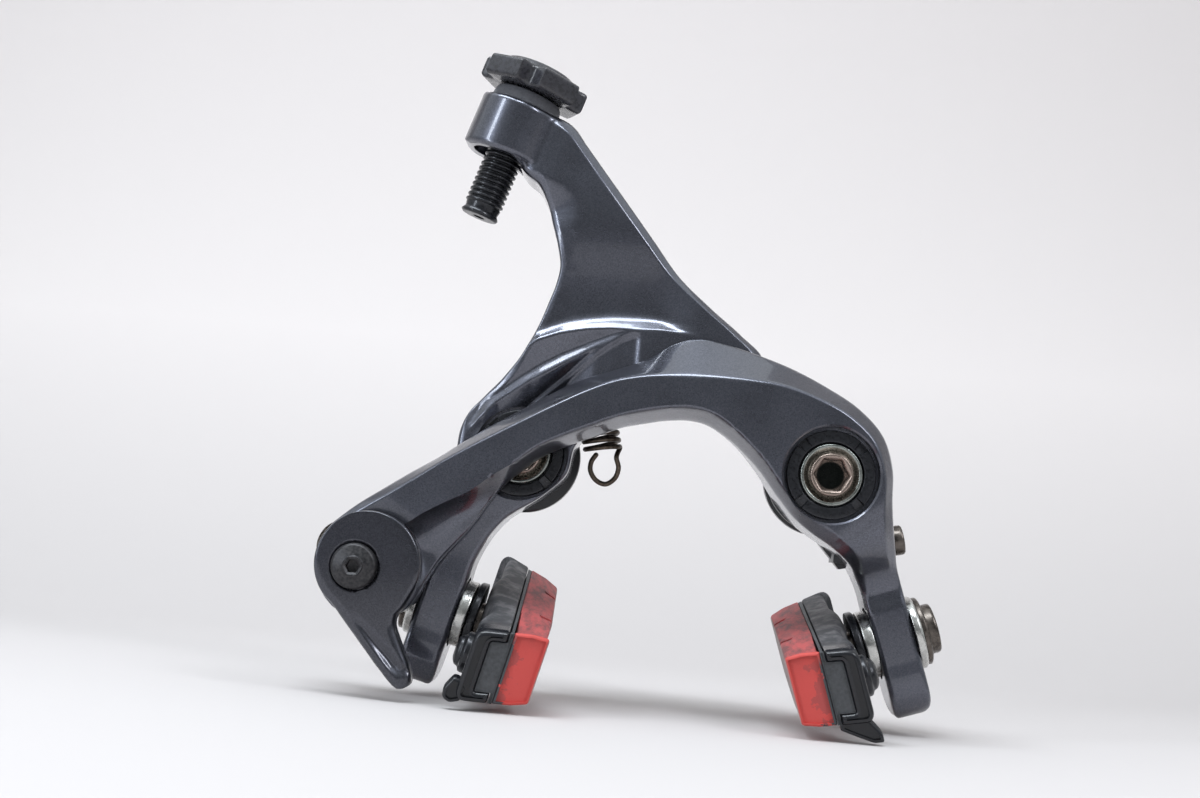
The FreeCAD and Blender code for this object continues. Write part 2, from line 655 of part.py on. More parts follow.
def housing_arm():
    """Upright arm: adjuster boss, neck, web behind the crossing arm, left boss and left leg."""
    shape = lofted_bar(housing_arm_stations())
    shape = shape.fuse(cylinder(dim.boss_radius - 0.4, housing_back, housing_front))
    foot, axis = adjuster_axis()
    boss = Part.makeCylinder(float(dim.adjuster_boss_radius), float(dim.adjuster_boss_height),
                             foot + axis * float(BOSS_LOW), axis)
    shape = shape.fuse(boss)
    above = Part.makeCylinder(14, 12, foot + axis * float(boss_top), axis)
    below = Part.makeCylinder(float(dim.adjuster_boss_radius), 12, foot + axis * (float(BOSS_LOW) - 12), axis)
    shape = shape.cut(above).cut(below)
    bore = Part.makeCylinder(float(dim.stem_radius + dim.fit_clearance), 60, foot - axis * 30, axis)
    shape = shape.cut(bore)
    blade, slot = leg(LEFT_SHOE, 1, dim.left_tilt)
    shape = shape.fuse(blade).cut(slot)
    shape = bore_pivot(shape, housing_back, housing_front)
    shape = shape.cut(link_slot())
    shape = shape.cut(spring_hole())
    item = doc.addObject("Part::Feature", "housing_arm")
    item.Shape = shape
    stand_at(item, "housing_arm", LEFT_PIVOT)


def spring_hole():
    """Blind hole under the web that holds the upper end of the visible spring."""
    start = spring_route()[0][0]
    depth = 6
    radius = float(dim.spring_wire) / 2 + float(dim.fit_clearance)
    return Part.makeCylinder(radius, depth, start - Vector(0, depth, 0), Vector(0, 1, 0))


# Springs

def biarc(start, start_way, end, end_way):
    """Two arcs that meet smoothly and leave both ends along the given directions."""
    chord = end - start
    ways = start_way + end_way
    bend = 2 * (1 - start_way.dot(end_way))
    reach = chord.dot(ways)
    if bend < 1e-9:
        handle = chord.dot(chord) / (4 * chord.dot(end_way))
    else:
        handle = (math.sqrt(reach * reach + 2 * bend * chord.dot(chord) / 2) - reach) / bend
    joint = (start + end + (start_way - end_way) * handle) * 0.5
    first = arc_leaving(start, start_way, joint)
    second = arc_leaving(end, -end_way, joint)
    return [first, second]


def arc_leaving(start, way, end):
    """Arc, or straight edge, from start in the direction way to end."""
    chord = end - start
    straight = chord.Length
    cosine = chord.dot(way) / straight
    if cosine > 1 - 1e-9:
        return Part.LineSegment(start, end).toShape()
    half_turn = math.acos(cosine)
    apex = start + way * (straight / (2 * cosine))
    middle = (start + end) * 0.5
    top = middle + (apex - middle) * (math.tan(half_turn / 2) / math.tan(half_turn))
    return Part.Arc(start, top, end).toShape()


def wire_tube(route, diameter):
    """Round wire along a route of (point, direction) pairs."""
    edges = []
    for (start, start_way), (end, end_way) in zip(route, route[1:]):
        edges.extend(biarc(start, start_way, end, end_way))
    path = Part.Wire(Part.__sortEdges__(edges))
    circle = Part.Circle(route[0][0], route[0][1], float(diameter) / 2).toShape()
    return path.makePipeShell([Part.Wire(circle)], True, False), path


def coil_points(centre, axis, radius, pitch, turns, start_angle):
    """(point, direction) pairs every quarter turn of a coil that climbs along its axis."""
    axis = Vector(axis).normalize()
    across = axis.cross(Vector(0, 0, 1)).normalize()
    towards = across.cross(axis)
    pairs = []
    steps = round(turns * 4)
    for step in range(steps + 1):
        angle = math.radians(start_angle + 90 * step)
        climb = pitch * (step / 4 - turns / 2)
        point = centre + axis * climb + (across * math.cos(angle) + towards * math.sin(angle)) * radius
        way = (towards * math.cos(angle) - across * math.sin(angle)) * (2 * math.pi * radius)
        way = (way + axis * pitch).normalize()
        pairs.append((point, way))
    return pairs


def least_self_gap(path, diameter):
    """Least gap of a wire to itself, measured on points along its middle line."""
    points = path.discretize(Distance=0.25)
    skip = int(3 * diameter / 0.25)
    least = 1e9
    for first in range(len(points)):
        for second in range(first + skip, len(points)):
            least = min(least, (points[first] - points[second]).Length)
    return least - diameter


def spring_route():
    """Upper leg, coil and open hook of the visible spring, in the housing arm's frame."""
    lean = math.radians(float(dim.spring_lean))
    axis = Vector(math.sin(lean), -math.cos(lean), 0)
    height = float(dim.shoe_plane)
    centre = SPRING_CENTRE + Vector(0, 0, height)
    radius = float(dim.spring_radius)
    coil = coil_points(centre, axis, radius, float(dim.spring_pitch), 2.25, 90)
    top = coil[0]
    leg_end = Vector(top[0].x + 2.2, 11.0, height)
    hook_right = coil[-1][0] + Vector(0.7, -2.2, -1.2)
    hook_low = Vector(hook_right.x - 2.4, hook_right.y - 5.4, height)
    hook_left = Vector(hook_low.x - 2.7, hook_low.y + 2.9, height)
    tip = Vector(hook_left.x + 0.9, hook_left.y + 3.3, height)
    leg_low = leg_end - Vector(0, 3.2, 0)
    return [(leg_end, Vector(0, -1, 0)), (leg_low, Vector(0, -1, 0))] + coil + [
        (hook_right, Vector(0.12, -1, 0).normalize()),
        (hook_low, Vector(-1, -0.05, 0).normalize()),
        (hook_left, Vector(0, 1, 0)),
        (tip, Vector(0.4, 0.92, 0).normalize())]


def springs():
    """The visible wire spring with its hook, and the hidden spring that opens the arms."""
    route = spring_route()
    shape, path = wire_tube(route, dim.spring_wire)
    print("return_spring least gap to itself", round(least_self_gap(path, float(dim.spring_wire)), 3))
    item = doc.addObject("Part::Feature", "return_spring")
    item.Shape = shape
    stand_at(item, "return_spring", LEFT_PIVOT)

    turns = 2.75
    low = float(seat_front + dim.torsion_wire / 2)
    middle = Vector(0, 0, low + float(dim.torsion_pitch) * turns / 2)
    pairs = []
    for step in range(round(turns * 4) + 1):
        angle = math.radians(90 * step)
        radius = float(dim.torsion_radius)
        climb = float(dim.torsion_pitch) * (step / 4 - turns / 2)
        point = middle + Vector(math.cos(angle) * radius, math.sin(angle) * radius, climb)
        way = Vector(-math.sin(angle), math.cos(angle), 0) * (2 * math.pi * radius)
        pairs.append((point, (way + Vector(0, 0, float(dim.torsion_pitch))).normalize()))
    shape, path = wire_tube(pairs, dim.torsion_wire)
    print("pivot_spring least gap to itself", round(least_self_gap(path, float(dim.torsion_wire)), 3))
    item = doc.addObject("Part::Feature", "pivot_spring")
    item.Shape = shape
    stand_at(item, "pivot_spring", RIGHT_PIVOT)


def seat_blank():
    """Round plate with its tail, before it is bored."""
    low, high = float(seat_back), float(seat_front)
    corners = [Vector(x, y, low) for x, y in SEAT_TAIL]
    tail = Part.Face(Part.makePolygon(corners + corners[:1])).extrude(Vector(0, 0, high - low))
    return tail.fuse(cylinder(dim.boss_radius - 0.5, low, high))


def seat_lug(room):
    """Lug that stands forward from the tail, or with some room the pocket for it."""
    low = float(seat_back)
    high = float(dim.shoe_plane) + LUG_ABOVE_SCREW
    corner = LUG_CORNER + Vector(-room, -room, low)
    return Part.makeBox(float(dim.lug_thickness) + 2 * room, float(dim.lug_length) + 2 * room,
                        high + room - low, corner)


def spring_seat():
    """Plate behind the right boss with a tail, and the lug that the centring screw pushes on."""
    shape = seat_blank().fuse(seat_lug(0))
    shape = shape.cut(cylinder(bush_bore, seat_back - OVERCUT, seat_front + OVERCUT))
    item = doc.addObject("Part::Feature", "spring_seat")
    item.Shape = shape.removeSplitter()
    stand_at(item, "spring_seat", RIGHT_PIVOT)


# Cable arm hardware

def place_on_cable_arm(item, label, spot, turn=None):
    """Finish a piece whose origin is a spot of the cable arm's facing frame."""
    x = RIGHT_PIVOT + spot.x
    turn = FACING if turn is None else turn
    finish(item, label, Placement(Vector(float(x), -spot.z, spot.y), turn))
    bind(item, "Placement.Base.x", x)


def lever_and_pin():
    """Quick release lever with its cam journal, and the eccentric pin through both."""
    face_gap = dim.running_gap
    lever_back = cable_front + face_gap
    lever_front = lever_back + dim.lever_thickness
    low = float(lever_back)
    corners = [Vector(x, y, low) for x, y in BEAK]
    shape = Part.Face(Part.makePolygon(corners + corners[:1])).extrude(Vector(0, 0, float(dim.lever_thickness)))
    shape = shape.fuse(cylinder(dim.lever_radius, low, lever_front))
    shape = shape.fuse(cylinder(dim.journal_radius, cable_back, lever_back))
    offset = PIN_CENTRE - LEVER_CENTRE
    pin_hole = cylinder(dim.pin_radius, 0, float(lever_front) + OVERCUT, offset.x, offset.y)
    item = doc.addObject("Part::Feature", "quick_release_lever")
    item.Shape = shape.cut(pin_hole).removeSplitter()
    place_on_cable_arm(item, "quick_release_lever", LEVER_CENTRE)

    head_height = 2.4
    anchor_front = cable_back - face_gap
    pin = turned("lever_pin", [
        (0, anchor_front - dim.anchor_depth + 1), (dim.pin_radius, anchor_front - dim.anchor_depth + 1),
        (dim.pin_radius, lever_front), (dim.pin_head_radius, lever_front),
        (dim.pin_head_radius, lever_front + 0.7), (dim.pin_head_radius - 0.9, lever_front + 1.7),
        (dim.pin_head_radius - 1.9, lever_front + head_height), (0, lever_front + head_height)])
    hex_socket(pin, as_size(2.5), 1.6, lever_front + head_height)
    place_on_cable_arm(pin, "lever_pin", PIN_CENTRE)


def cable_anchor():
    """Swivelling anchor behind the arm's left end, with its clamp plate and bolt."""
    front = cable_back - dim.running_gap
    back = front - dim.anchor_depth
    clamp_x = -dim.clamp_offset
    clamp_z = dim.clamp_rise
    pin_floor = back + 1
    clamp_end = front - 1.4
    block = cylinder(dim.anchor_radius, back, front, clamp_x, clamp_z)
    block = block.fuse(cylinder(dim.anchor_neck, back, front))
    block = block.cut(cylinder(dim.pin_radius + dim.fit_clearance, pin_floor - 0.2, front + OVERCUT))
    block = block.cut(cylinder(dim.clamp_bolt_radius, back - OVERCUT, clamp_end, clamp_x, clamp_z))
    groove_x = float(clamp_x - dim.clamp_bolt_radius - dim.cable_radius)
    groove = Part.makeCylinder(float(dim.cable_radius), 30, Vector(groove_x, -20, float(back)), Vector(0, 1, 0))
    item = doc.addObject("Part::Feature", "cable_anchor")
    item.Shape = block.cut(groove)
    place_on_cable_arm(item, "cable_anchor", PIN_CENTRE)

    plate_back = back - dim.clamp_plate_thickness
    plate = turned("cable_clamp_plate", [
        (dim.clamp_bolt_radius, plate_back), (dim.clamp_plate_radius, plate_back),
        (dim.clamp_plate_radius, back), (dim.clamp_bolt_radius, back)])
    clamp_spot = PIN_CENTRE + Vector(float(clamp_x), float(clamp_z), 0)
    place_on_cable_arm(plate, "cable_clamp_plate", clamp_spot)

    head_back = plate_back - dim.clamp_head_height
    bolt = turned("cable_clamp_bolt", [
        (0, head_back + 2), (1.6, head_back + 2), (1.6, head_back), (dim.clamp_head_radius - 0.5, head_back),
        (dim.clamp_head_radius, head_back + 0.5), (dim.clamp_head_radius, plate_back),
        (dim.clamp_bolt_radius, plate_back), (dim.clamp_bolt_radius, clamp_end), (0, clamp_end)])
    place_on_cable_arm(bolt, "cable_clamp_bolt", clamp_spot)


def link_hardware():
    """Pin and roller that couple the two arms."""
    low = housing_back + 1
    high = cable_back + 4
    pin = turned("link_pin", [(0, low), (dim.link_pin_radius, low), (dim.link_pin_radius, high), (0, high)])
    place_on_cable_arm(pin, "link_pin", LINK)
    top = cable_back - dim.running_gap
    roller = turned("link_roller", [
        (dim.link_pin_radius, low + 0.5), (dim.link_roller_radius, low + 0.5),
        (dim.link_roller_radius, top), (dim.link_pin_radius, top)])
    place_on_cable_arm(roller, "link_roller", LINK)


def centring_screw():
    """Small screw in the right arm's shoulder."""
    length = dim.centring_shank_length
    screw = turned("centring_screw", [
        (0, -length), (dim.centring_shank_radius - 0.3, -length),
        (dim.centring_shank_radius, -length + 0.4), (dim.centring_shank_radius, 0.1),
        (dim.centring_head_radius, 0.1), (dim.centring_head_radius, dim.centring_head_height - 0.4),
        (dim.centring_head_radius - 0.4, dim.centring_head_height), (0, dim.centring_head_height)])
    hex_socket(screw, as_size(2), 1.2, dim.centring_head_height)
    axis = Vector(CENTRING_AXIS.x, 0, CENTRING_AXIS.y)
    spot = CENTRING_HEAD + Vector(0, 0, float(dim.shoe_plane))
    place_on_cable_arm(screw, "centring_screw", spot, Rotation(Vector(0, 0, 1), axis))


# Adjuster

def place_on_adjuster(item, label):
    """Finish a turned piece whose own Z is the adjuster axis."""
    foot, axis = adjuster_axis()
    x = LEFT_PIVOT + foot.x
    turn = Rotation(Vector(0, 1, 0), float(dim.adjuster_lean))
    finish(item, label, Placement(Vector(float(x), -foot.z, foot.y), turn))
    bind(item, "Placement.Base.x", x)
    bind(item, "Placement.Base.y", -dim.shoe_plane)


def adjuster():
    """Threaded stem with the cable housing's seat, the knob that lifts it, and the seal."""
    bottom = BOSS_LOW - dim.stem_below
    knob_low = boss_top + dim.seal_height + dim.running_gap
    knob_top = knob_low + dim.knob_height
    stem_top = knob_top + 0.6
    root = dim.stem_radius - dim.thread_depth
    outline = [(dim.cable_hole_radius, bottom), (dim.stem_radius - 0.5, bottom),
               (dim.stem_radius, bottom + 0.5), (dim.stem_radius, bottom + dim.stem_flange),
               (root, bottom + dim.stem_flange + dim.thread_pitch / 4)]
    threads = int(float(stem_top - bottom - dim.stem_flange) / float(dim.thread_pitch)) - 1
    for turn in range(threads):
        base = bottom + dim.stem_flange + dim.thread_pitch * (turn + 0.5)
        outline.append((root, base))
        outline.append((dim.stem_radius, base + dim.thread_pitch * 0.3))
        outline.append((dim.stem_radius, base + dim.thread_pitch * 0.45))
        outline.append((root, base + dim.thread_pitch * 0.75))
    outline += [(root, stem_top), (dim.socket_bore_radius, stem_top),
                (dim.socket_bore_radius, stem_top - dim.socket_bore_depth),
                (dim.cable_hole_radius, stem_top - dim.socket_bore_depth)]
    stem = turned("adjuster_stem", outline)
    place_on_adjuster(stem, "adjuster_stem")

    bore = dim.stem_radius + dim.fit_clearance
    seal = turned("adjuster_seal", [
        (bore, boss_top), (dim.seal_radius, boss_top), (dim.seal_radius - 0.6, boss_top + dim.seal_height),
        (bore, boss_top + dim.seal_height)])
    place_on_adjuster(seal, "adjuster_seal")

    lobes = 5
    crown = 1.0
    knob = turned("adjuster_knob", [
        (bore, knob_low), (dim.knob_radius - 0.6, knob_low), (dim.knob_radius, knob_low + 0.6),
        (dim.knob_radius, knob_top - crown), (dim.knob_radius - crown, knob_top - 0.3), (bore, knob_top)])
    hollow = primitive(knob, "SubtractiveCylinder", "knob_hollow",
                       {"Radius": dim.knob_scallop, "Height": dim.knob_height + 2 * OVERCUT},
                       (0, -(dim.knob_radius + dim.knob_scallop - 1.5), knob_low - OVERCUT))
    hollows = knob.newObject("PartDesign::PolarPattern", "knob_hollows")
    hollows.Originals = [hollow]
    hollows.Axis = (origin_plane(knob, "Z_Axis"), [""])
    hollows.Angle = 360
    hollows.Occurrences = lobes
    knob.Tip = hollows
    doc.recompute()
    place_on_adjuster(knob, "adjuster_knob")


# Brake shoes. A shoe's own frame has X along the bolt, Y back to the frame and Z up the leg.
# side_in is +1 on the left and -1 on the right: the direction of the rim along X.

def shoe_place(side, centre, side_in, tilt, pitch, toe):
    """Place of the shoe frame on its arm."""
    pivot = LEFT_PIVOT if side == "left" else RIGHT_PIVOT
    turn = Rotation(Vector(0, 1, 0), side_in * float(tilt)) * Rotation(Vector(1, 0, 0), float(pitch))
    turn = turn * Rotation(Vector(0, 0, 1), side_in * float(toe))
    x = pivot + centre.x
    return x, Placement(Vector(float(x), -float(dim.shoe_plane), centre.y), turn)


def place_on_leg(item, label, spot, turn):
    x, place = spot
    finish(item, label, place * Placement(Vector(0, 0, 0), turn))
    bind(item, "Placement.Base.x", x)
    bind(item, "Placement.Base.y", -dim.shoe_plane)


def shoe_hardware(side, spot, side_in):
    """Bolt and washers that clamp a shoe in the slot of its leg."""
    towards_rim = Rotation(Vector(0, 1, 0), 90 * side_in)
    half = dim.leg_thickness / 2
    hole = dim.shoe_bolt_radius
    washer_base = -half - dim.outer_washer_height
    flange_base = washer_base - dim.shoe_flange_height
    head_base = flange_base - dim.shoe_head_height
    convex_top = half + dim.inner_washer_height
    holder_base = convex_top + dim.cup_washer_height
    tip = holder_base + dim.holder_back - 0.4

    washer = turned("outer_washer_" + side, [
        (hole, washer_base), (dim.outer_washer_radius - 0.4, washer_base),
        (dim.outer_washer_radius, washer_base + 0.4), (dim.outer_washer_radius, -half), (hole, -half)])
    place_on_leg(washer, "outer_washer_" + side, spot, towards_rim)

    convex = turned("domed_washer_" + side, [
        (hole, half + dim.fit_clearance), (dim.inner_washer_radius, half + dim.fit_clearance),
        (dim.inner_washer_radius, half + 0.9),
        (dim.inner_washer_radius - 1.4, convex_top), (hole, convex_top)])
    place_on_leg(convex, "domed_washer_" + side, spot, towards_rim)

    hollow = turned("hollow_washer_" + side, [
        (hole, convex_top), (dim.cup_washer_radius - 1.6, convex_top), (dim.cup_washer_radius, convex_top + 0.5),
        (dim.cup_washer_radius, holder_base), (hole, holder_base)])
    place_on_leg(hollow, "hollow_washer_" + side, spot, towards_rim)

    bolt = turned("shoe_bolt_" + side, [
        (0, head_base + 1.4), (2.0, head_base + 1.4), (2.0, head_base), (dim.shoe_head_radius - 0.4, head_base),
        (dim.shoe_head_radius, head_base + 0.4), (dim.shoe_head_radius, flange_base),
        (dim.shoe_flange_radius, flange_base), (dim.shoe_flange_radius, washer_base),
        (dim.shoe_bolt_radius, washer_base), (dim.shoe_bolt_radius, tip), (0, tip)])
    place_on_leg(bolt, "shoe_bolt_" + side, spot, towards_rim)
    return holder_base


def shoe_box(side_in, near, far, front, back, low, high):
    """Box in the shoe frame between two distances from the leg's middle."""
    x = float(near) if side_in > 0 else -float(far)
    base = Vector(x, float(front), float(low))
    return Part.makeBox(float(far) - float(near), float(back) - float(front), float(high) - float(low), base)


# Section of the guide fin under the front of each holder: distance from the leg's middle, height.
FINS = {
    "left": [(5.4, -7.4), (5.6, -9.0), (7.1, -9.5), (8.8, -8.6), (9.2, -5.9), (8.0, -4.8), (6.5, -4.9), (5.7, -5.8)],
    "right": [(12.9, -5.9), (8.2, -5.9), (7.1, -8.9), (6.9, -10.4), (7.1, -11.6), (8.8, -11.4), (11.5, -9.7),
              (12.9, -8.3)],
}


def shoe_prism(side_in, corners, front, back):
    """Straight prism in the shoe frame from a closed outline across it."""
    points = [Vector(side_in * distance, float(front), height) for distance, height in corners]
    outline = Part.makePolygon(points + points[:1])
    return Part.Face(outline).extrude(Vector(0, float(back) - float(front), 0))


def shoe(side, spot, side_in, washer_top, toe):
    """Holder with its pad screw, rubber base and red compound, turned by the toe angle."""
    holder_base = washer_top + dim.toe_gap
    front = -dim.holder_front
    back = dim.holder_length - dim.holder_front
    half = dim.holder_height / 2
    channel_half = half - dim.holder_wall
    mouth = holder_base + dim.holder_depth
    floor = holder_base + dim.holder_back
    straight = Rotation()

    body = shoe_box(side_in, holder_base, mouth, front, back, -half, half)
    channel = shoe_box(side_in, floor, mouth + 1, front - 1, back - dim.holder_wall, -channel_half, channel_half)
    fin = shoe_prism(side_in, FINS[side], front, front + dim.fin_length)
    inward = Vector(side_in, 0, 0)
    bolt_way = Rotation(Vector(0, 0, 1), -side_in * float(toe)).multVec(inward)
    bolt_hole_tool = Part.makeCylinder(float(dim.shoe_bolt_radius + dim.fit_clearance),
                                       float(dim.holder_back) - 0.3 + 1, bolt_way * (float(washer_top) - 1), bolt_way)
    screw_base = Vector(0, -float(dim.set_screw_place), 0) + inward * (float(holder_base) - 1)
    screw_hole = Part.makeCylinder(1.5, 2.8, screw_base, inward)
    item = doc.addObject("Part::Feature", "shoe_holder_" + side)
    item.Shape = body.fuse(fin).cut(channel).cut(bolt_hole_tool).cut(screw_hole).removeSplitter()
    place_on_leg(item, "shoe_holder_" + side, spot, straight)

    pad_half = dim.pad_height / 2
    flange = 0.8
    base = shoe_box(side_in, floor, mouth, front + 0.4, back - dim.holder_wall, -channel_half, channel_half)
    lip = shoe_box(side_in, mouth, mouth + flange, front + 0.4, back - 0.6, -pad_half, pad_half)
    item = doc.addObject("Part::Feature", "pad_base_" + side)
    item.Shape = base.fuse(lip).removeSplitter()
    place_on_leg(item, "pad_base_" + side, spot, straight)

    near = mouth + flange
    face = mouth + dim.pad_thickness
    block = shoe_box(side_in, near, face, front + 0.4, back - 0.6, -pad_half, pad_half)
    for place in (-11.5, 9.5):
        cut = shoe_box(side_in, face - 2.2, face + 1, place, place + float(dim.pad_groove), -pad_half - 1, pad_half + 1)
        block = block.cut(cut)
    item = doc.addObject("Part::Feature", "pad_compound_" + side)
    item.Shape = block
    place_on_leg(item, "pad_compound_" + side, spot, straight)

    height = dim.set_screw_height
    radius = dim.set_screw_radius
    screw = turned("pad_screw_" + side, [
        (0, -height), (radius * 0.45, -height), (radius * 0.85, -height * 0.6), (radius, 0), (1.5, 0),
        (1.5, 1.7), (0, 1.7)])
    offset = Placement(Vector(0, -float(dim.set_screw_place), 0) + inward * float(holder_base),
                       Rotation(Vector(0, 1, 0), 90 * side_in))
    finish(screw, "pad_screw_" + side, spot[1] * offset)


def check_document():
    """Stop on any failed object and on any sub-part without one whole valid shape."""
    doc.recompute()
    for item in doc.Objects:
        for word in ("Invalid", "Error"):
            if word in item.State:
                raise RuntimeError(f"{item.Label}: {word}")
    for item in PARTS:
        if item.Shape.isNull() or not item.Shape.isValid() or item.Shape.Volume <= 0:
            raise RuntimeError(f"{item.Label}: no valid solid")


def export_parts():
    os.makedirs("parts", exist_ok=True)
    for item in PARTS:
        solids = len(item.Shape.Solids)
        print(f"{item.Label}: {solids} solid, {item.Shape.Volume:.0f} mm3")
        item.Shape.exportStep(f"parts/{item.Label}.step")


booster_plate()
pivot_stack("left", LEFT_PIVOT, housing_back, housing_front)
pivot_stack("right", RIGHT_PIVOT, seat_front, dim.cable_boss_front)
cable_arm()
housing_arm()
springs()
spring_seat()
lever_and_pin()
cable_anchor()
link_hardware()
centring_screw()
adjuster()
for side, centre, side_in, tilt, pitch, toe in (
        ("left", LEFT_SHOE, 1, dim.left_tilt, dim.left_pitch, dim.left_toe),
        ("right", RIGHT_SHOE, -1, dim.right_tilt, dim.right_pitch, dim.right_toe)):
    hardware_spot = shoe_place(side, centre, side_in, tilt, 0, 0)
    shoe_spot = shoe_place(side, centre, side_in, tilt, pitch, toe)
    base = shoe_hardware(side, hardware_spot, side_in)
    shoe(side, shoe_spot, side_in, base, toe)
check_document()
export_parts()
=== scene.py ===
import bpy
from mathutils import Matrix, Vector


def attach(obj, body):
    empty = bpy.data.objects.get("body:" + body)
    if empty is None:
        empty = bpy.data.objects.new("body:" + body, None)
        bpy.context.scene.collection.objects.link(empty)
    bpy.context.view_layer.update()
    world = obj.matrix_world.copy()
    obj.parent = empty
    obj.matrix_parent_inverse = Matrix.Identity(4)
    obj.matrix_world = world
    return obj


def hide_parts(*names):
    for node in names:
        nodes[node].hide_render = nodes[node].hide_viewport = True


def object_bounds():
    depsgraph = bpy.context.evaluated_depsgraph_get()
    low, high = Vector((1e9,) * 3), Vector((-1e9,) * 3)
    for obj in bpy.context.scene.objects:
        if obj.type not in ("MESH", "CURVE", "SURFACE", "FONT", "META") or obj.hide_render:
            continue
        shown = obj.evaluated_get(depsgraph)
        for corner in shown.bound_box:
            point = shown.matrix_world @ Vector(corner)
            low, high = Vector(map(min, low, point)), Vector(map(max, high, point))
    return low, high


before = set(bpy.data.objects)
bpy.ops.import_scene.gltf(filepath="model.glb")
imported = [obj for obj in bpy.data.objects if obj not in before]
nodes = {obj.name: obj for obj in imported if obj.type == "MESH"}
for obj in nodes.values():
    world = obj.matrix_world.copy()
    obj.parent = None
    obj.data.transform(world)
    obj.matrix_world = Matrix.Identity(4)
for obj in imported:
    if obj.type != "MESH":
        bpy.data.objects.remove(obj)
cad_box = [list(corner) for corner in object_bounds()]

import bmesh
import bpy
import numpy as np
from mathutils import Matrix, Vector

mm = 0.001

# Camera.
# It stands in front of the caliper and a little below the pivots, leans a few degrees to the
# right, and sees the 111 mm wide part from about a third of a metre.
camera_data = bpy.data.cameras.new("camera")
camera_data.sensor_width = 36.0
camera_data.lens = 52.62
camera_data.clip_start = 0.01
camera = bpy.data.objects.new("camera", camera_data)
camera_right = Vector((0.99650, 0.02271, 0.08052))
camera_up = Vector((-0.07822, -0.08857, 0.99299))
camera_back = camera_right.cross(camera_up)
camera.matrix_world = Matrix.Translation(Vector((-4.534, -323.366, -16.208)) * mm) @ Matrix(
    (camera_right, camera_up, camera_back)).transposed().to_4x4()
bpy.context.scene.collection.objects.link(camera)
bpy.context.scene.camera = camera


# Floor, background and light.
# A pale sheet lies under the caliper and rises behind it. The light is plain: a wide soft box
# overhead, a narrow one at each side, and a pale room that is darker behind the camera.
def linear(code):
    """Linear colour of an sRGB hex code: each part is bent by the sRGB curve."""
    parts = np.array([int(code[i:i + 2], 16) for i in (0, 2, 4)]) / 255
    bent = np.where(parts <= 0.04045, parts / 12.92, ((parts + 0.055) / 1.055) ** 2.4)
    return (*bent.tolist(), 1.0)


def add_node(tree, kind, *inputs, **settings):
    """Add a node, fill its sockets in order (None skips one) or by name, and set its properties.

    A node or an output is linked, and any other value is set on the socket.
    """
    node = tree.nodes.new("ShaderNode" + kind)
    for name in [name for name in settings if hasattr(node, name)]:
        setattr(node, name, settings.pop(name))
    filled = list(zip([socket for socket in node.inputs if socket.enabled], inputs))
    filled += [(node.inputs[name.replace("_", " ")], value) for name, value in settings.items()]
    for socket, value in filled:
        if isinstance(value, bpy.types.Node):
            value = next(output for output in value.outputs if output.enabled)
        if isinstance(value, bpy.types.NodeSocket):
            tree.links.new(value, socket)
        elif value is not None:
            socket.default_value = value
    return node


def new_material(name):
    """An empty node material, its tree, and the Object coordinates of its piece."""
    material = bpy.data.materials.new(name)
    material.use_nodes = True
    material.node_tree.nodes.clear()
    spot = add_node(material.node_tree, "TexCoord").outputs["Object"]
    return material, material.node_tree, spot


def grid_object(name, points, closed_u=False, closed_v=False, caps=()):
    """A mesh whose points are a function of two parameters: rows u by columns v, in millimetres.

    Neighbouring rows and columns are joined by quads, the last to the first where closed, and
    a cap is one flat face over the first (0) or last (-1) row.
    """
    rows, columns = points.shape[:2]
    number = np.arange(rows * columns).reshape(rows, columns)
    if closed_u:
        number = np.vstack([number, number[:1]])
    if closed_v:
        number = np.hstack([number, number[:, :1]])
    quads = np.stack([number[:-1, :-1], number[1:, :-1], number[1:, 1:], number[:-1, 1:]], axis=-1)
    faces = quads.reshape(-1, 4).tolist()
    for cap in caps:
        loop = number[cap, :columns].tolist()
        faces.append(loop if cap == 0 else loop[::-1])
    mesh = bpy.data.meshes.new(name)
    mesh.from_pydata((points.reshape(-1, 3) * mm).tolist(), [], faces)
    made = bpy.data.objects.new(name, mesh)
    bpy.context.scene.collection.objects.link(made)
    tidy(made)
    return made


weld_distance, least_length = 0.002 * mm, 0.001 * mm


def tidy(made, sharp=40.0):
    """Merge the points of seams and poles, turn all faces outwards, shade smooth up to an angle."""
    form = bmesh.new()
    form.from_mesh(made.data)
    bmesh.ops.remove_doubles(form, verts=form.verts, dist=weld_distance)
    bmesh.ops.dissolve_degenerate(form, edges=form.edges, dist=least_length)
    bmesh.ops.recalc_face_normals(form, faces=form.faces)
    form.to_mesh(made.data)
    form.free()
    made.data.polygons.foreach_set("use_smooth", [True] * len(made.data.polygons))
    made.data.set_sharp_from_angle(angle=np.radians(sharp))


floor_height = cad_box[0][2] / mm - 0.3
bend_start, bend_radius, wall_top = 130.0, 260.0, 900.0
turn = np.radians(np.linspace(0, 90, 25))
profile_y = np.concatenate([
    [-900.0], bend_start + bend_radius * np.sin(turn), [bend_start + bend_radius]])
profile_z = np.concatenate([[0.0], bend_radius * (1 - np.cos(turn)), [wall_top]]) + floor_height
width = np.linspace(-1200.0, 1200.0, 3)
sweep = np.stack(np.broadcast_arrays(width, profile_y[:, None], profile_z[:, None]), axis=-1)
floor = grid_object("floor", sweep)

# Matt paper, flat and even, with painted shade: darker low down, where the lamps light it most.
paper, tree, spot = new_material("matt_paper_sheet")
height = add_node(tree, "SeparateXYZ", spot).outputs["Z"]
high = add_node(tree, "MapRange", height, -60 * mm, 60 * mm)
shade = add_node(tree, "Mix", high, linear("c0bcbb"), linear("e6e0de"), data_type="RGBA")
shader = add_node(tree, "BsdfPrincipled", shade, Roughness=0.9, Specular_IOR_Level=0.2)
add_node(tree, "OutputMaterial", shader)
floor.data.materials.append(paper)

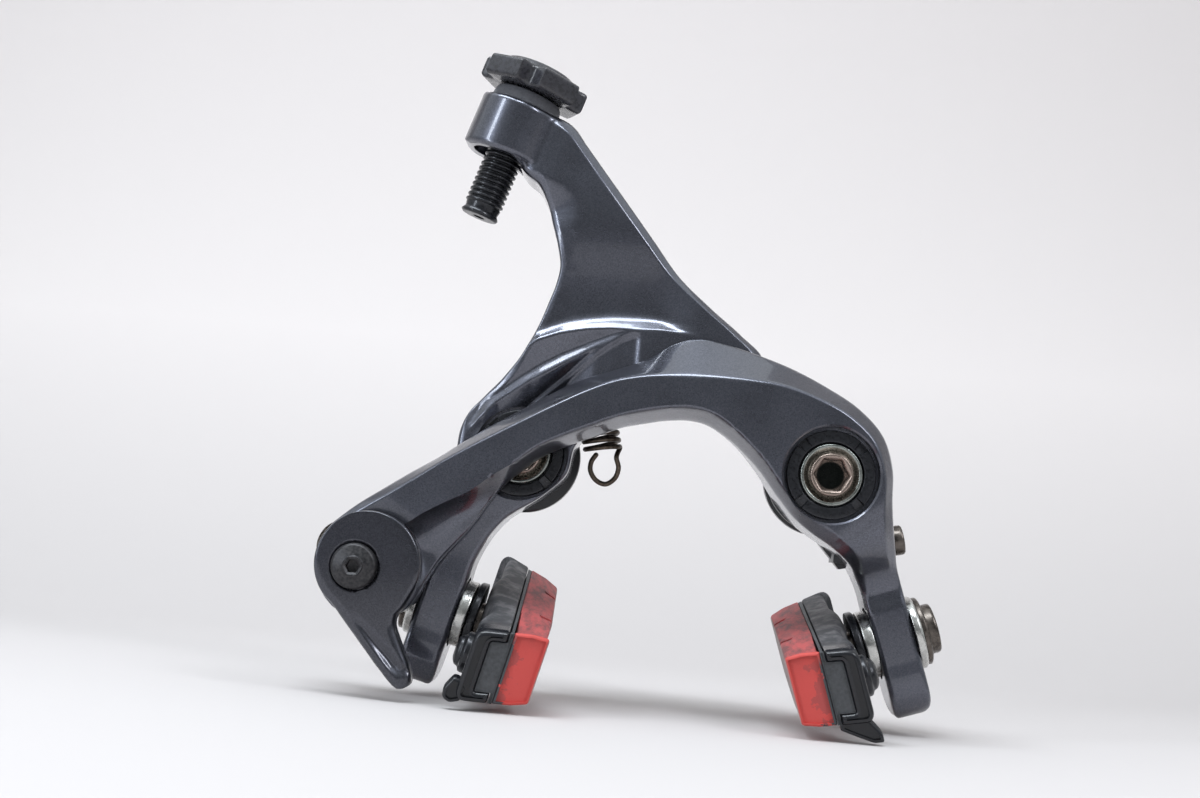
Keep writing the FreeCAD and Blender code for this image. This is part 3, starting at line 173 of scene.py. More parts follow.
world = bpy.data.worlds.new("studio")
world.use_nodes = True
bpy.context.scene.world = world
tree = world.node_tree
tree.nodes.clear()
way = add_node(tree, "SeparateXYZ", add_node(tree, "TexCoord").outputs["Generated"])
rise = add_node(tree, "MapRange", way.outputs["Z"], -0.1, 0.95, 0.46, 1.4)
behind = add_node(tree, "MapRange", way.outputs["Y"], -1.0, 0.2, 0.4, 1.0)
level = add_node(tree, "Math", rise, behind, operation="MULTIPLY")
add_node(tree, "OutputWorld", add_node(tree, "Background", linear("eaeff2"), level))

# Each lamp: its name, place, target and size in millimetres, its power in watts and its colour.
for name, place, target, size, power, colour in (
        ("key_box", (-120, -160, 480), (-10, 0, 10), (460, 140), 2.5, "f0f8ff"),
        ("left_box", (-360, -300, 150), (-20, 0, 20), (60, 330), 0.75, "eef6ff"),
        ("right_box", (330, -330, 330), (0, 0, 0), (90, 240), 0.9, "f6f8ff")):
    lamp = bpy.data.lights.new(name, "AREA")
    lamp.shape = "RECTANGLE"
    lamp.size, lamp.size_y = size[0] * mm, size[1] * mm
    lamp.energy = power
    lamp.color = linear(colour)[:3]
    holder = bpy.data.objects.new(name, lamp)
    facing = (Vector(target) - Vector(place)).to_track_quat("-Z", "Y")
    holder.matrix_world = Matrix.Translation(Vector(place) * mm) @ facing.to_matrix().to_4x4()
    bpy.context.scene.collection.objects.link(holder)
bpy.context.scene.view_settings.view_transform = "Standard"

# Housing arm.
# Forged aluminium, painted a glossy blue-black. It carries the cable adjuster at the top, turns
# on the left pivot and ends in the left leg, with a slot for the shoe bolt.
def smooth(values, along, at):
    """Values at places along a line, from the cubic between each two of the given ones.

    Its slope at each given value is the mean of the slopes on both sides, weighted by the
    other side's length.
    """
    step = np.diff(along)[:, None]
    slope = np.diff(values, axis=0) / step
    inner = (slope[:-1] * step[1:] + slope[1:] * step[:-1]) / (step[1:] + step[:-1])
    slope = np.vstack([slope[:1], inner, slope[-1:]])
    cell = np.clip(np.searchsorted(along, at, side="right") - 1, 0, len(values) - 2)
    gap = step[cell]
    share = (at - along[cell])[:, None] / gap
    return (values[cell] * (1 + 2 * share) * (1 - share) ** 2
            + slope[cell] * gap * share * (1 - share) ** 2
            + values[cell + 1] * share ** 2 * (3 - 2 * share)
            - slope[cell + 1] * gap * share ** 2 * (1 - share))


arc_steps = 1 - np.cos(np.radians([0, 18, 36, 54, 72, 90]))
bevel_steps = np.array([0.15, 0.35, 0.6, 0.8, 0.88, 0.94, 1.0, 1.06, 1.12, 1.2, 1.35])
fold_round, edge_limit, back_columns, wall_rows = 0.35, 0.94, 25, 4


def forging(name, stations, count, across, front_of=None, back_of=None):
    """A forged bar: sections stand across it, each from a first edge to a second edge.

    A station is first x, z, second x, z, back, front, first bevel width, drop, second bevel
    width, drop, edge radius, and the power that bends the first bevel. The front stands at
    its height less the drop of the bevels, d * (1 - (distance / width) ** power) inside the
    bevel, and less a quarter circle at the edge. front_of and back_of may then change both
    heights as functions of the place. The walls between front and back are straight.
    """
    stations = np.array(stations, float)
    step = sum(np.linalg.norm(np.diff(stations[:, i:i + 2], axis=0), axis=1) for i in (0, 2))
    along = np.concatenate([[0], np.cumsum(np.maximum(step, 0.05))])
    rows = smooth(stations, along, np.union1d(np.linspace(0, along[-1], count), along))
    first, second = rows[:, 0:2], rows[:, 2:4]
    wide = np.linalg.norm(second - first, axis=1)
    back, front, bevel_a, drop_a, bevel_b, drop_b, radius, power = rows[:, 4:12].T
    edge_a, edge_b = [
        np.hstack([radius[:, None] * arc_steps, radius[:, None] + width[:, None] * bevel_steps])
        for width in (bevel_a, bevel_b)]
    limit = np.minimum(1, edge_limit * wide / np.maximum(edge_a[:, -1] + edge_b[:, -1], 1e-6))
    edge_a, edge_b = edge_a * limit[:, None], edge_b * limit[:, None]
    bevel_a, bevel_b, radius = bevel_a * limit, bevel_b * limit, radius * limit
    inside = np.linspace(0, 1, across + 2)[1:-1]
    span = (wide - edge_a[:, -1] - edge_b[:, -1])[:, None]
    distance = np.hstack([
        edge_a, edge_a[:, -1:] + span * inside, (wide[:, None] - edge_b)[:, ::-1]])
    share = distance / np.maximum(wide[:, None], 1e-6)
    x = first[:, :1] + (second - first)[:, :1] * share
    z = first[:, 1:] + (second - first)[:, 1:] * share

    def drop(away, bevel, depth, bend):
        """Fall of a bevel with its fold rounded by a parabola, and of the edge's quarter circle."""
        reach = (bevel + radius)[:, None]
        past = away / np.maximum(reach, 1e-6)
        soft = fold_round / np.maximum(reach, fold_round + 0.01)
        flat = 1 - np.clip(past, 0, 1) ** bend
        at_fold = (bend == 1) & (np.abs(past - 1) < soft)
        flat = np.where(at_fold, (1 + soft - past) ** 2 / (4 * soft), flat)
        near = np.clip(1 - away / np.maximum(radius[:, None], 1e-6), 0, 1)
        return depth[:, None] * flat + radius[:, None] * (1 - np.sqrt(1 - near ** 2))

    fall = drop(distance, bevel_a, drop_a, power[:, None])
    fall = fall + drop(wide[:, None] - distance, bevel_b, drop_b, 1)
    height, low = front[:, None] - fall, back[:, None] + 0 * x
    height = front_of(x, z, height) if front_of else height
    low = back_of(x, z, low) if back_of else low
    top = np.stack([x, -np.maximum(height, low), z], axis=-1)
    keep = np.linspace(0, x.shape[1] - 1, back_columns).round().astype(int)
    under = np.stack([x, -low, z], axis=-1)[:, keep][:, ::-1]
    wall = np.linspace(0, 1, wall_rows + 2)[1:-1, None]
    wall_b = top[:, -1][:, None] * (1 - wall) + under[:, 0][:, None] * wall
    wall_a = under[:, -1][:, None] * (1 - wall) + top[:, 0][:, None] * wall
    loop = np.concatenate([top, wall_b, under, wall_a], axis=1)
    return grid_object(name, loop, closed_v=True, caps=(0, -1))


def nearest(x, z, line):
    """Signed distance of places from a line of points: positive on the left of its direction."""
    line = np.asarray(line, float)
    best = np.full(x.shape, 1e9)
    signed = np.zeros(x.shape)
    for (ax, az), (bx, bz) in zip(line, line[1:]):
        dx, dz = bx - ax, bz - az
        share = np.clip(((x - ax) * dx + (z - az) * dz) / (dx * dx + dz * dz), 0, 1)
        away = np.hypot(x - ax - share * dx, z - az - share * dz)
        side = np.sign(dx * (z - az) - dz * (x - ax))
        closer = away < best
        best = np.where(closer, away, best)
        signed = np.where(closer, away * side, signed)
    return signed


def ease(low, high, value):
    """Smooth step from 0 to 1."""
    share = np.clip((value - low) / (high - low), 0, 1)
    return share * share * (3 - 2 * share)


shoe_plane = 9.0
adjuster_lean = np.radians(18.0)
adjuster_axis = np.array([np.sin(adjuster_lean), np.cos(adjuster_lean)])
adjuster_side = np.array([np.cos(adjuster_lean), -np.sin(adjuster_lean)])
adjuster_foot = np.array([-34.2, 56.0])
boss_low, boss_high, boss_radius = -2.6, 7.3, 7.9
left_shoe = np.array([-39.3, -28.0])
right_shoe = np.array([41.0, -27.3])
leg_half, leg_depth_half, foot_place = 3.5, 5.6, -8.2
left_lean, right_lean = 14.5, 19.0
foot_inset, foot_round = 1.5, 0.9
flat_bevels = (0.05, 0, 0.05, 0)


def boss_row(side, low, high, front, back, radius):
    """Section of the adjuster boss at a distance beside its axis."""
    middle = adjuster_foot + side * adjuster_side
    return [*middle + low * adjuster_axis, *middle + high * adjuster_axis, back, front,
            *flat_bevels, radius, 1]


def leg_rows(centre, lean, inward):
    """Sections of a leg, from its top to its half-round foot, each from left to right."""
    up = np.array([np.sin(lean), np.cos(lean)])
    beside = np.array([np.cos(lean), -np.sin(lean)])
    rows = [(place, leg_half, leg_half, leg_depth_half) for place in (10.0, 5.0, 0.0, -4.0)]
    for turned in np.radians([0, 20, 40, 58, 74, 84, 90]):
        inset = foot_inset * (1 - np.cos(turned)) ** 2
        rows.append((foot_place - leg_depth_half * np.sin(turned), leg_half - inset,
                     leg_half - 1.3 * inset, leg_depth_half * np.cos(turned)))
    result = []
    for place, toward, away, deep in rows:
        left, right = (away, toward) if inward > 0 else (toward, away)
        middle = centre + up * place
        result.append([*middle - beside * left, *middle + beside * right, shoe_plane - deep,
                       shoe_plane + deep, *flat_bevels, min(foot_round, 0.5 * deep), 1])
    return result


bevel = (1.1, 1.5)
neck_edges = [
    (-24.7, 41.3, -14.9, 50.2), (-23.4, 37.2, -10.0, 44.2), (-22.8, 34.1, -6.0, 39.3),
    (-23.2, 31.0, -1.4, 33.7), (-24.3, 27.4, 4.4, 28.6), (-25.8, 23.0, 10.2, 24.1),
    (-28.2, 17.6, 14.6, 19.8)]
housing_stations = [
    boss_row(-7.9, -1.5, 6.2, 9.0, 9.0, 0.05),
    boss_row(-7.6, -2.2, 6.9, 9.0, 9.0, 0.3),
    boss_row(-6.6, -2.6, 7.3, 9.0, 9.0, 0.9),
    boss_row(-4.0, -2.6, 7.3, 9.5, 8.0, 1.0),
    boss_row(0.0, -2.6, 7.3, 11.0, 6.0, 1.0),
    boss_row(2.6, -2.6, 7.3, 13.0, 4.6, 1.0),
    [-30.4, 50.3, -27.2, 61.5, 4.0, 14.2, 0.4, 0.2, 0.4, 0.2, 1.0, 1],
    [-27.9, 48.4, -22.7, 59.7, 3.7, 14.8, 0.9, 0.5, *bevel, 0.7, 1],
    [-26.1, 45.4, -19.7, 56.1, 3.7, 14.9, 0.7, 0.3, *bevel, 0.5, 1],
    *[[*edges, 3.7, 14.9, 0.7, 0.3, *bevel, 0.4, 1] for edges in neck_edges],
    [-31.0, 13.6, 14.4, 13.6, 3.7, 14.9, 1.0, 0.7, 0.8, 0.6, 0.5, 1],
    [-34.2, 9.8, 3.0, 10.4, 3.7, 14.9, 0.9, 0.6, 0.6, 0.4, 0.5, 1],
    [-36.8, 6.4, -6.6, 9.2, 3.6, 15.0, 0.8, 0.5, 0.5, 0.3, 0.5, 1],
    [-38.0, 3.2, -13.6, 7.0, 3.4, 15.2, 0.6, 0.4, 0.4, 0.2, 0.6, 1],
    [-38.3, -0.2, -17.4, 2.0, 3.3, 15.3, 0.6, 0.4, 0.3, 0.1, 0.6, 1],
    [-38.4, -4.0, -18.6, -3.2, 3.3, 15.3, 0.6, 0.4, 0.3, 0.1, 0.6, 1],
    [-38.6, -7.6, -22.5, -7.3, 3.4, 15.2, 0.6, 0.4, 0.3, 0.1, 0.6, 1],
    [-39.0, -11.6, -28.8, -11.9, 3.5, 14.9, 0.5, 0.3, 0.3, 0.1, 0.8, 1],
    *leg_rows(left_shoe, np.radians(left_lean), 1),
]
# The folds in the front of the arm: lines of (x, z), which the profile below joins.
fold_top = [
    (-31.0, 18.6), (-28.0, 20.4), (-25.2, 22.0), (-23.6, 22.9), (-20.5, 24.4), (-16.8, 25.2),
    (-12.4, 25.9), (-8.3, 26.0), (-4.6, 25.6), (-2.5, 25.1), (3.0, 23.6)]
fold_bottom = [
    (-31.0, 17.6), (-28.0, 19.2), (-25.4, 20.7), (-21.9, 22.0), (-17.1, 23.0), (-13.0, 23.5),
    (-8.1, 23.6), (-4.1, 23.9), (3.0, 23.4)]
rib_high = [
    (-38.0, 2.0), (-35.6, 6.3), (-33.8, 8.7), (-30.7, 11.2), (-27.7, 13.7), (-24.6, 16.0),
    (-21.5, 17.9), (-18.4, 19.5), (-15.2, 21.0), (-12.1, 22.3), (-8.5, 23.4)]
rib_low = [
    (-38.0, 0.6), (-34.5, 6.0), (-31.8, 9.1), (-28.7, 11.4), (-26.1, 13.3), (-22.9, 15.1),
    (-19.8, 17.0), (-16.7, 18.9), (-13.6, 20.8), (-10.5, 22.6), (-8.5, 23.3)]
second_rib = [
    (-34.0, 0.0), (-23.0, 11.2), (-20.4, 13.7), (-17.4, 16.8), (-14.3, 19.7), (-10.9, 22.2),
    (-8.5, 23.2)]
crest, neck_set, least_band, rib_crest = 15.0, 1.7, 0.4, 0.4
valley_slope, rib_slope, pit_slope, facet_slope, facet_drop = 0.42, 0.66, 0.75, 0.4, 0.5


def folded(x, z):
    """Height of the folds below the neck: a piecewise straight profile down each column.

    From above it is the neck, the bright band that comes forward, a pocket that goes back, the
    first rib that comes forward, a steep pocket, and the thin second rib above a falling facet.
    """
    band_top, band_low, high, low, thin = [np.interp(x, *np.transpose(line)) for line in (
        fold_top, fold_bottom, rib_high, rib_low, second_rib)]
    band_low = np.minimum(band_low, band_top - least_band)
    high, low = np.minimum(high, band_low), np.minimum(low, band_low)
    thin = np.minimum(thin, low)
    neck = crest - neck_set * (1 - ease(-6.0, 4.0, x)) * ease(-33.0, -24.0, x)
    valley = crest - valley_slope * np.minimum(band_low - high, 3.0)
    rib = valley + rib_slope * (high - low)
    gap = np.minimum(low - thin, 2.6)
    pit = rib - pit_slope * np.maximum(gap - 0.4, 0)
    rise = rib_crest * np.clip(gap, 0, 1)
    edge = pit + rise
    height = np.where(z > band_top, neck, 0.0)
    for top, bottom, start, stop, bend in (
            (band_top, band_low, neck, crest, 1.4), (band_low, high, crest, valley, 1),
            (high, low, valley, rib, 1), (low, thin + rise, rib, pit, 1),
            (thin + rise, thin, pit, edge, 1)):
        share = np.clip((top - z) / np.maximum(top - bottom, 1e-3), 0, 1)
        height = np.where((z <= top) & (z > bottom), start + (stop - start) * share ** bend, height)
    facet = edge - np.minimum(facet_slope * np.maximum(thin - z, 0), facet_drop)
    height = np.where(z <= thin, facet, height)
    beside = np.clip(x + 8.3, 0, 1)
    return np.where(z <= band_low, height + (crest - height) * beside, height)


neck_crease = [
    (-20.0, 36.0), (-20.7, 40.8), (-20.1, 42.9), (-20.4, 45.1), (-21.2, 46.7), (-22.8, 48.1),
    (-25.4, 49.4), (-28.0, 50.5), (-31.0, 51.6)]
neck_front, facet_lean, facet_round, boss_blend, crisp, soft = 14.9, 0.15, 0.9, 1.2, 0.16, 0.42


def about_boss(x, z):
    """Distances of places beside and along the adjuster's axis."""
    away = np.stack([x - adjuster_foot[0], z - adjuster_foot[1]])
    return np.tensordot(adjuster_side, away, 1), np.tensordot(adjuster_axis, away, 1)


def boss_depth(side, up, radius):
    """How far the round boss stands out from the shoe plane, to the front and to the back."""
    return np.where(up > boss_low - 0.6, np.sqrt(np.maximum(radius ** 2 - side ** 2, 0)), 0)


def averaged(x, z, reach):
    """Mean height of the folds at 25 places around each place."""
    steps = range(-2, 3)
    return sum(folded(x + reach * a, z + reach * b) for a in steps for b in steps) / len(steps) ** 2


def housing_front(x, z, height):
    """Front of the arm: the round boss, the grey facet left of the neck, and the folds below it."""
    side, up = about_boss(x, z)
    near = np.clip(1 - np.minimum(up - boss_low, boss_high - up), 0, 1)
    radius = boss_radius - (1 - np.sqrt(1 - near ** 2)) * ease(-8.0, -6.0, side)
    barrel = shoe_plane + boss_depth(side, up, radius)
    gap = np.clip(0.5 + 0.5 * (barrel - height) / boss_blend, 0, 1)
    swell = boss_blend * gap * (1 - gap) * ease(-7.5, -4.0, side)
    height = height * (1 - gap) + barrel * gap + swell
    above = ease(-0.6, 0.8, z - np.interp(x, *np.transpose(fold_bottom)))
    fold = averaged(x, z, crisp) * (1 - above) + averaged(x, z, soft) * above
    lip = nearest(x, z, neck_crease)
    facet = facet_lean * (np.hypot(lip, facet_round) + lip - facet_round) * (lip < 8)
    facet *= ease(33.0, 44.0, z) * (1 - ease(48.0, 52.5, z))
    window = ease(2.0, 5.0, z) * ease(-37.5, -35.0, x) * (1 - ease(26.5, 44.0, z))
    return height + (fold - neck_front) * window - facet


def housing_back(x, z, low):
    """Back of the arm: flat, with the round boss at the top."""
    return np.minimum(low, shoe_plane - boss_depth(*about_boss(x, z), boss_radius))


def place_points(points, centre, axis):
    """Move points so that their Z lies along an axis and their origin is at a centre."""
    axis = np.array(axis, float) / np.linalg.norm(axis)
    side = np.cross((0.0, 0.0, 1.0), axis)
    if np.linalg.norm(side) < 1e-6:
        side = np.cross((0.0, 1.0, 0.0), axis)
    side /= np.linalg.norm(side)
    other = np.cross(axis, side)
    return np.array(centre, float) + points @ np.stack([side, other, axis])


def rounded(corners, closed, steps=4):
    """Outline through corners (a, b, radius, flat), each as round as its radius and sides allow.

    Between the two points a radius away from the corner it is the parabola that leaves both
    sides along their own direction.
    """
    corners = [tuple(corner) + (0.0,) * (4 - len(corner)) for corner in corners]
    count = len(corners)
    result = []
    for index, (a, b, radius, flat) in enumerate(corners):
        here = np.array([a, b, flat])
        end = not closed and index in (0, count - 1)
        if end or radius == 0:
            result.append(here)
            continue
        before = np.array(corners[index - 1])[[0, 1, 3]]
        after = np.array(corners[(index + 1) % count])[[0, 1, 3]]
        reach_a = np.hypot(*(before - here)[:2])
        reach_b = np.hypot(*(after - here)[:2])
        start = here + (before - here) * min(0.48, radius / reach_a)
        stop = here + (after - here) * min(0.48, radius / reach_b)
        for share in np.linspace(0, 1, steps + 1):
            result.append(start * (1 - share) ** 2 + here * 2 * share * (1 - share)
                          + stop * share ** 2)
    return np.array(result)


def turned_piece(name, corners, centre, axis, segments=96, closed=True, shape=None):
    """A rounded outline of (radius, height) turned about an axis.

    Where an outline point is marked flat, the circle becomes a hexagon of that half width.
    shape(radius, height, angle) may bend both before the piece is placed.
    """
    profile = rounded(corners, closed)
    angle = np.linspace(0, 2 * np.pi, segments, endpoint=False)
    hexagon = 1 / np.cos(np.mod(angle, np.pi / 3) - np.pi / 6)
    radius = profile[:, :1] * (1 + profile[:, 2:] * (hexagon - 1))
    height = np.repeat(profile[:, 1:2], segments, axis=1)
    if shape is not None:
        radius, height = shape(radius, height, angle[None, :])
    points = np.stack([radius * np.cos(angle), radius * np.sin(angle), height], axis=-1)
    return grid_object(name, place_points(points, centre, axis), closed_u=closed, closed_v=True)


def settle(made):
    """Apply the modifiers of a piece to its mesh."""
    graph = bpy.context.evaluated_depsgraph_get()
    solid = bpy.data.meshes.new_from_object(made.evaluated_get(graph))
    made.modifiers.clear()
    old = made.data
    made.data = solid
    bpy.data.meshes.remove(old)


def join(name, pieces):
    """One object from several meshes."""
    form = bmesh.new()
    for piece in pieces:
        form.from_mesh(piece.data)
    mesh = bpy.data.meshes.new(name)
    form.to_mesh(mesh)
    form.free()
    for piece in pieces:
        bpy.data.objects.remove(piece)
    made = bpy.data.objects.new(name, mesh)
    bpy.context.scene.collection.objects.link(made)
    return made


def carve(made, cutters):
    """Take closed cutters out of a piece, and keep the cut edges sharp in the shading."""
    tool = join("cutter", cutters)
    cut = made.modifiers.new("carve", "BOOLEAN")
    cut.operation = "DIFFERENCE"
    cut.solver = "EXACT"
    cut.object = tool
    settle(made)
    bpy.data.objects.remove(tool)
    tidy(made, 38.0)


front_way = (0, -1, 0)
housing_arm = forging("housing_arm_shell", housing_stations, 400, 130, housing_front, housing_back)
left_pivot, right_pivot, left_face, right_face = -27.0, 27.0, 15.3, 24.0
counterbore, counterbore_depth, bush_radius, rim = 8.25, 4.0, 5.55, 0.35


def hole(name, profile, centre, axis):
    """A closed turned cutter."""
    return turned_piece(name, profile, centre, axis, closed=False)


def pivot_hole(name, x, face):
    """Bush hole and counterbore with a broken edge."""
    step = face - counterbore_depth
    return hole(name, [
        (0, -2), (bush_radius, -2), (bush_radius, step), (counterbore, step),
        (counterbore, face - rim), (counterbore + rim, face), (counterbore + rim, face + 6),
        (0, face + 6)], (x, 0, 0), front_way)


def shoe_slot(name, centre, lean):
    """Oblong slot for the shoe bolt through a leg, with the bolt's travel each way."""
    half, travel, reach = 3.3, 3.2, 12.0
    angle = np.radians(np.linspace(0, 360, 48, endpoint=False))
    across = half * np.cos(angle)
    along = half * np.sin(angle) + travel * np.sign(np.sin(angle) + 1e-9)
    turn = np.array([[np.cos(lean), 0, -np.sin(lean)], [0, 1, 0], [np.sin(lean), 0, np.cos(lean)]])
    layers = np.stack([np.stack([np.full(48, step), -shoe_plane - across, along], axis=-1)
                       for step in (-reach, reach)])
    points = layers @ turn + np.array([centre[0], 0, centre[1]])
    return grid_object(name, points, closed_v=True, caps=(0, -1))


foot_3d = np.array([adjuster_foot[0], -shoe_plane, adjuster_foot[1]])
adjuster_3d = np.array([adjuster_axis[0], 0, adjuster_axis[1]])
stem_bore = [(0, -3.3), (5.8, -3.3), (5.8, -1.4), (3.55, -1.4), (3.55, 12), (0, 12)]
carve(housing_arm, [
    pivot_hole("left_pivot_hole", left_pivot, left_face),
    shoe_slot("left_shoe_slot", left_shoe, np.radians(left_lean)),
    hole("stem_bore", stem_bore, foot_3d, adjuster_3d)])


def arm_paint(name, dark, light):
    """Glossy automotive paint: a dark base with fine metal flake under a clear coat.

    The flake gives a faint blue sparkle, the coat gives crisp highlights with slight orange
    peel, and hairline scratches dull it in places. The flake is drawn coarser than it is, so
    that it shows.
    """
    material, tree, spot = new_material(name)
    flake_size, peel_size, cloud_size, scratch_size = 0.18 * mm, 1.6 * mm, 9 * mm, 2.2 * mm
    flake = add_node(tree, "TexVoronoi", spot, Scale=1 / flake_size).outputs["Color"]
    colour = add_node(tree, "Mix", flake, linear(dark), linear(light), data_type="RGBA")
    peel = add_node(tree, "TexNoise", spot, Scale=1 / peel_size, Detail=2.0)
    bump = add_node(tree, "Bump", Height=peel, Strength=0.05, Distance=0.02 * mm)
    drawn = add_node(tree, "Mapping", spot, Scale=(1.0, 1.0, 9.0), Rotation=(0.0, 0.6, 0.0))
    scratch = add_node(tree, "TexNoise", drawn, Scale=1 / scratch_size, Detail=3.0)
    worn = add_node(tree, "MapRange", scratch, 0.62, 0.8, 0.0, 0.14)
    cloud = add_node(tree, "TexNoise", spot, Scale=1 / cloud_size, Detail=4.0)
    dull = add_node(tree, "MapRange", cloud, 0.35, 0.75, 0.26, 0.36)
    rough = add_node(tree, "Math", dull, worn, operation="ADD")
    shader = add_node(tree, "BsdfPrincipled", colour, Metallic=0.9, Roughness=rough, Normal=bump,
                      Coat_Normal=bump, Coat_Weight=0.8, Coat_Roughness=0.06)
    add_node(tree, "OutputMaterial", shader)
    return material


paint = arm_paint("gloss_paint_blue_black", "4a4c55", "62646e")


def dress(made, material, body, slot, *stands_for):
    """Give a piece its material and body, hide the CAD nodes it stands for; slot is not used."""
    made.data.materials.clear()
    made.data.materials.append(material)
    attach(made, body)
    if stands_for:
        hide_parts(*stands_for)
    return made


dress(housing_arm, paint, "housing_arm", "arm_paint", "housing_arm")

# Cable arm.
# The crossing arm, forged and painted like the other. Its left end holds the release lever, it
# arches over the tyre, turns on the right pivot and ends in the right leg.
end_centre = np.array([-50.2, -21.4])
end_radius, end_face = 9.7, 23.6
end_way = np.array([-0.62, -0.785])
end_side = np.array([-0.785, 0.62])


def end_row(offset):
    """Section of the round left end, a chord of its circle."""
    half = np.sqrt(max(end_radius ** 2 - offset ** 2, 1e-4))
    a = end_centre + end_way * offset - end_side * half
    b = end_centre + end_way * offset + end_side * half
    soft = min(0.5, half * 0.3)
    return [*a, *b, 16.0, end_face, 0.1, 0, 0.1, 0, soft, 1]


# Edges and bevels of the sections between the end boss and the right pivot.
arch_rows = [
    (-29.4, -6.4, -36.4, 1, 1.8, 5.4, 1.27, 4.2), (-26.3, -3.4, -32.1, 4.1, 1.1, 6, 1.67, 5),
    (-22.6, -0.4, -27.4, 7.2, 1.1, 6.4, 1.89, 5.8), (-18.6, 1.7, -22.4, 10.5, 1.1, 6.6, 2.24, 6.4),
    (-14.2, 3.6, -16.8, 13.6, 1.2, 6.8, 2.31, 6.8), (-9.6, 5.6, -11.2, 15.8, 1.2, 6.8, 2.13, 6.9),
    (-5.4, 6.7, -6.2, 17.9, 1.3, 6.8, 3.10, 7), (-1.6, 7.5, -1.6, 21, 1.3, 6.8, 5.78, 7.2),
    (2, 7.8, 3, 22.3, 1.3, 6.6, 6.90, 7.3), (5.2, 7.3, 8.2, 21.6, 1.3, 6.4, 6.21, 7.2)]
cable_stations = [
    *[end_row(offset) for offset in (9.7, 9.4, 8.4, 6.6, 4.0, 0.8)],
    [-40.9, -23.2, -55.9, -13.4, 16.2, 23.8, 3.0, 3.0, 0.6, 0.8, 0.4, 2],
    [-39.2, -20.1, -53.2, -11.1, 16.3, 24.2, 7.5, 4, 0.90, 1.4, 0.4, 3],
    [-37.1, -17.4, -49.8, -8.6, 16.4, 24.5, 7.2, 4.2, 1.10, 2.2, 0.4, 3],
    [-34.4, -14, -45.4, -5.4, 16.4, 24.5, 5.6, 4.2, 1.16, 3, 0.4, 3],
    [-31.8, -9.9, -40.5, -2.1, 16.4, 24.5, 3, 4.6, 0.88, 3.6, 0.4, 2],
    *[[*row[:4], 16.4, 24.5, *row[4:], 0.4, 1] for row in arch_rows],
    [8.4, 5.6, 13.8, 20.1, 16.2, 24.5, 1.2, 6, 5.00, 6.8, 0.4, 1],
    [11.4, 3.3, 19.4, 18.2, 14.6, 24.4, 1.1, 5.4, 3.75, 6, 0.4, 1],
    [14.8, 0, 25.6, 15.3, 10.6, 24.2, 1.1, 4.6, 2.70, 4.8, 0.4, 1],
    [18.2, -4.2, 31.6, 11.7, 7, 24, 1, 4, 2.13, 3.8, 0.4, 1],
    [21.4, -7.8, 35.8, 7.2, 6.3, 24, 1, 3.6, 1.79, 3.2, 0.4, 1],
    [24.8, -10.3, 37.7, 1.6, 6.3, 24, 1.6, 3.2, 1.80, 3, 0.4, 1],
    [27.9, -12.1, 38, -3.8, 6.3, 23.8, 1.5, 2.8, 1.80, 2.8, 0.4, 1],
    [30.4, -13.9, 38.6, -8.4, 6.2, 22.8, 1.3, 2.4, 1.6, 2.4, 0.5, 1],
    [32.2, -15.4, 39.5, -12.0, 5.6, 19.6, 1.0, 1.6, 1.2, 1.6, 0.6, 1],
    [33.3, -17.0, 40.3, -14.6, 4.6, 16.2, 0.6, 0.8, 0.8, 0.8, 0.8, 1],
    *leg_rows(right_shoe, np.radians(-right_lean), -1),
]

cable_arm = forging("cable_arm_shell", cable_stations, 320, 64)
end_3d = (end_centre[0], 0, end_centre[1])
carve(cable_arm, [
    pivot_hole("right_pivot_hole", right_pivot, right_face),
    shoe_slot("right_shoe_slot", right_shoe, np.radians(-right_lean)),
    hole("lever_bearing", [(0, 10), (6.35, 10), (6.35, 26), (0, 26)], end_3d, front_way)])
dress(cable_arm, paint, "cable_arm", "arm_paint", "cable_arm")

# Pivots.
# On each side a steel axle sleeve and a slotted black ring stand in the arm's counterbore. A
# dished washer and the plated head of the mounting bolt close it; the bolt goes on to the frame.
def finish(name, dark, light, metallic, rough, grain, relief=0.01, coat=0.0, dust=None):
    """Base colour between two tones and roughness between two values, both following one noise.

    The noise has its grain in millimetres, and relief is the depth of its bump in millimetres.
    Dust is (colour, share) and lies where a wide noise is high.
    """
    material, tree, spot = new_material(name)
    cloud_size = 3.1 * mm
    noise = add_node(tree, "TexNoise", spot, Scale=1 / (grain * mm), Detail=4.0)
    share = add_node(tree, "MapRange", noise, 0.3, 0.7)
    colour = add_node(tree, "Mix", share, linear(dark), linear(light), data_type="RGBA")
    matt = add_node(tree, "MapRange", noise, 0.3, 0.7, *rough)
    if dust is not None:
        cloud = add_node(tree, "TexNoise", spot, Scale=1 / cloud_size, Detail=6.0, Roughness=0.7)
        amount = add_node(tree, "MapRange", cloud, 0.52, 0.72, 0.0, dust[1])
        colour = add_node(tree, "Mix", amount, colour, linear(dust[0]), data_type="RGBA")
        matt = add_node(tree, "Math", matt, amount, operation="ADD")
    bump = add_node(tree, "Bump", Height=noise, Strength=0.6, Distance=relief * mm)
    shader = add_node(tree, "BsdfPrincipled", colour, Metallic=metallic, Roughness=matt,
                      Normal=bump, Coat_Weight=coat, Coat_Roughness=0.08)
    add_node(tree, "OutputMaterial", shader)
    return material


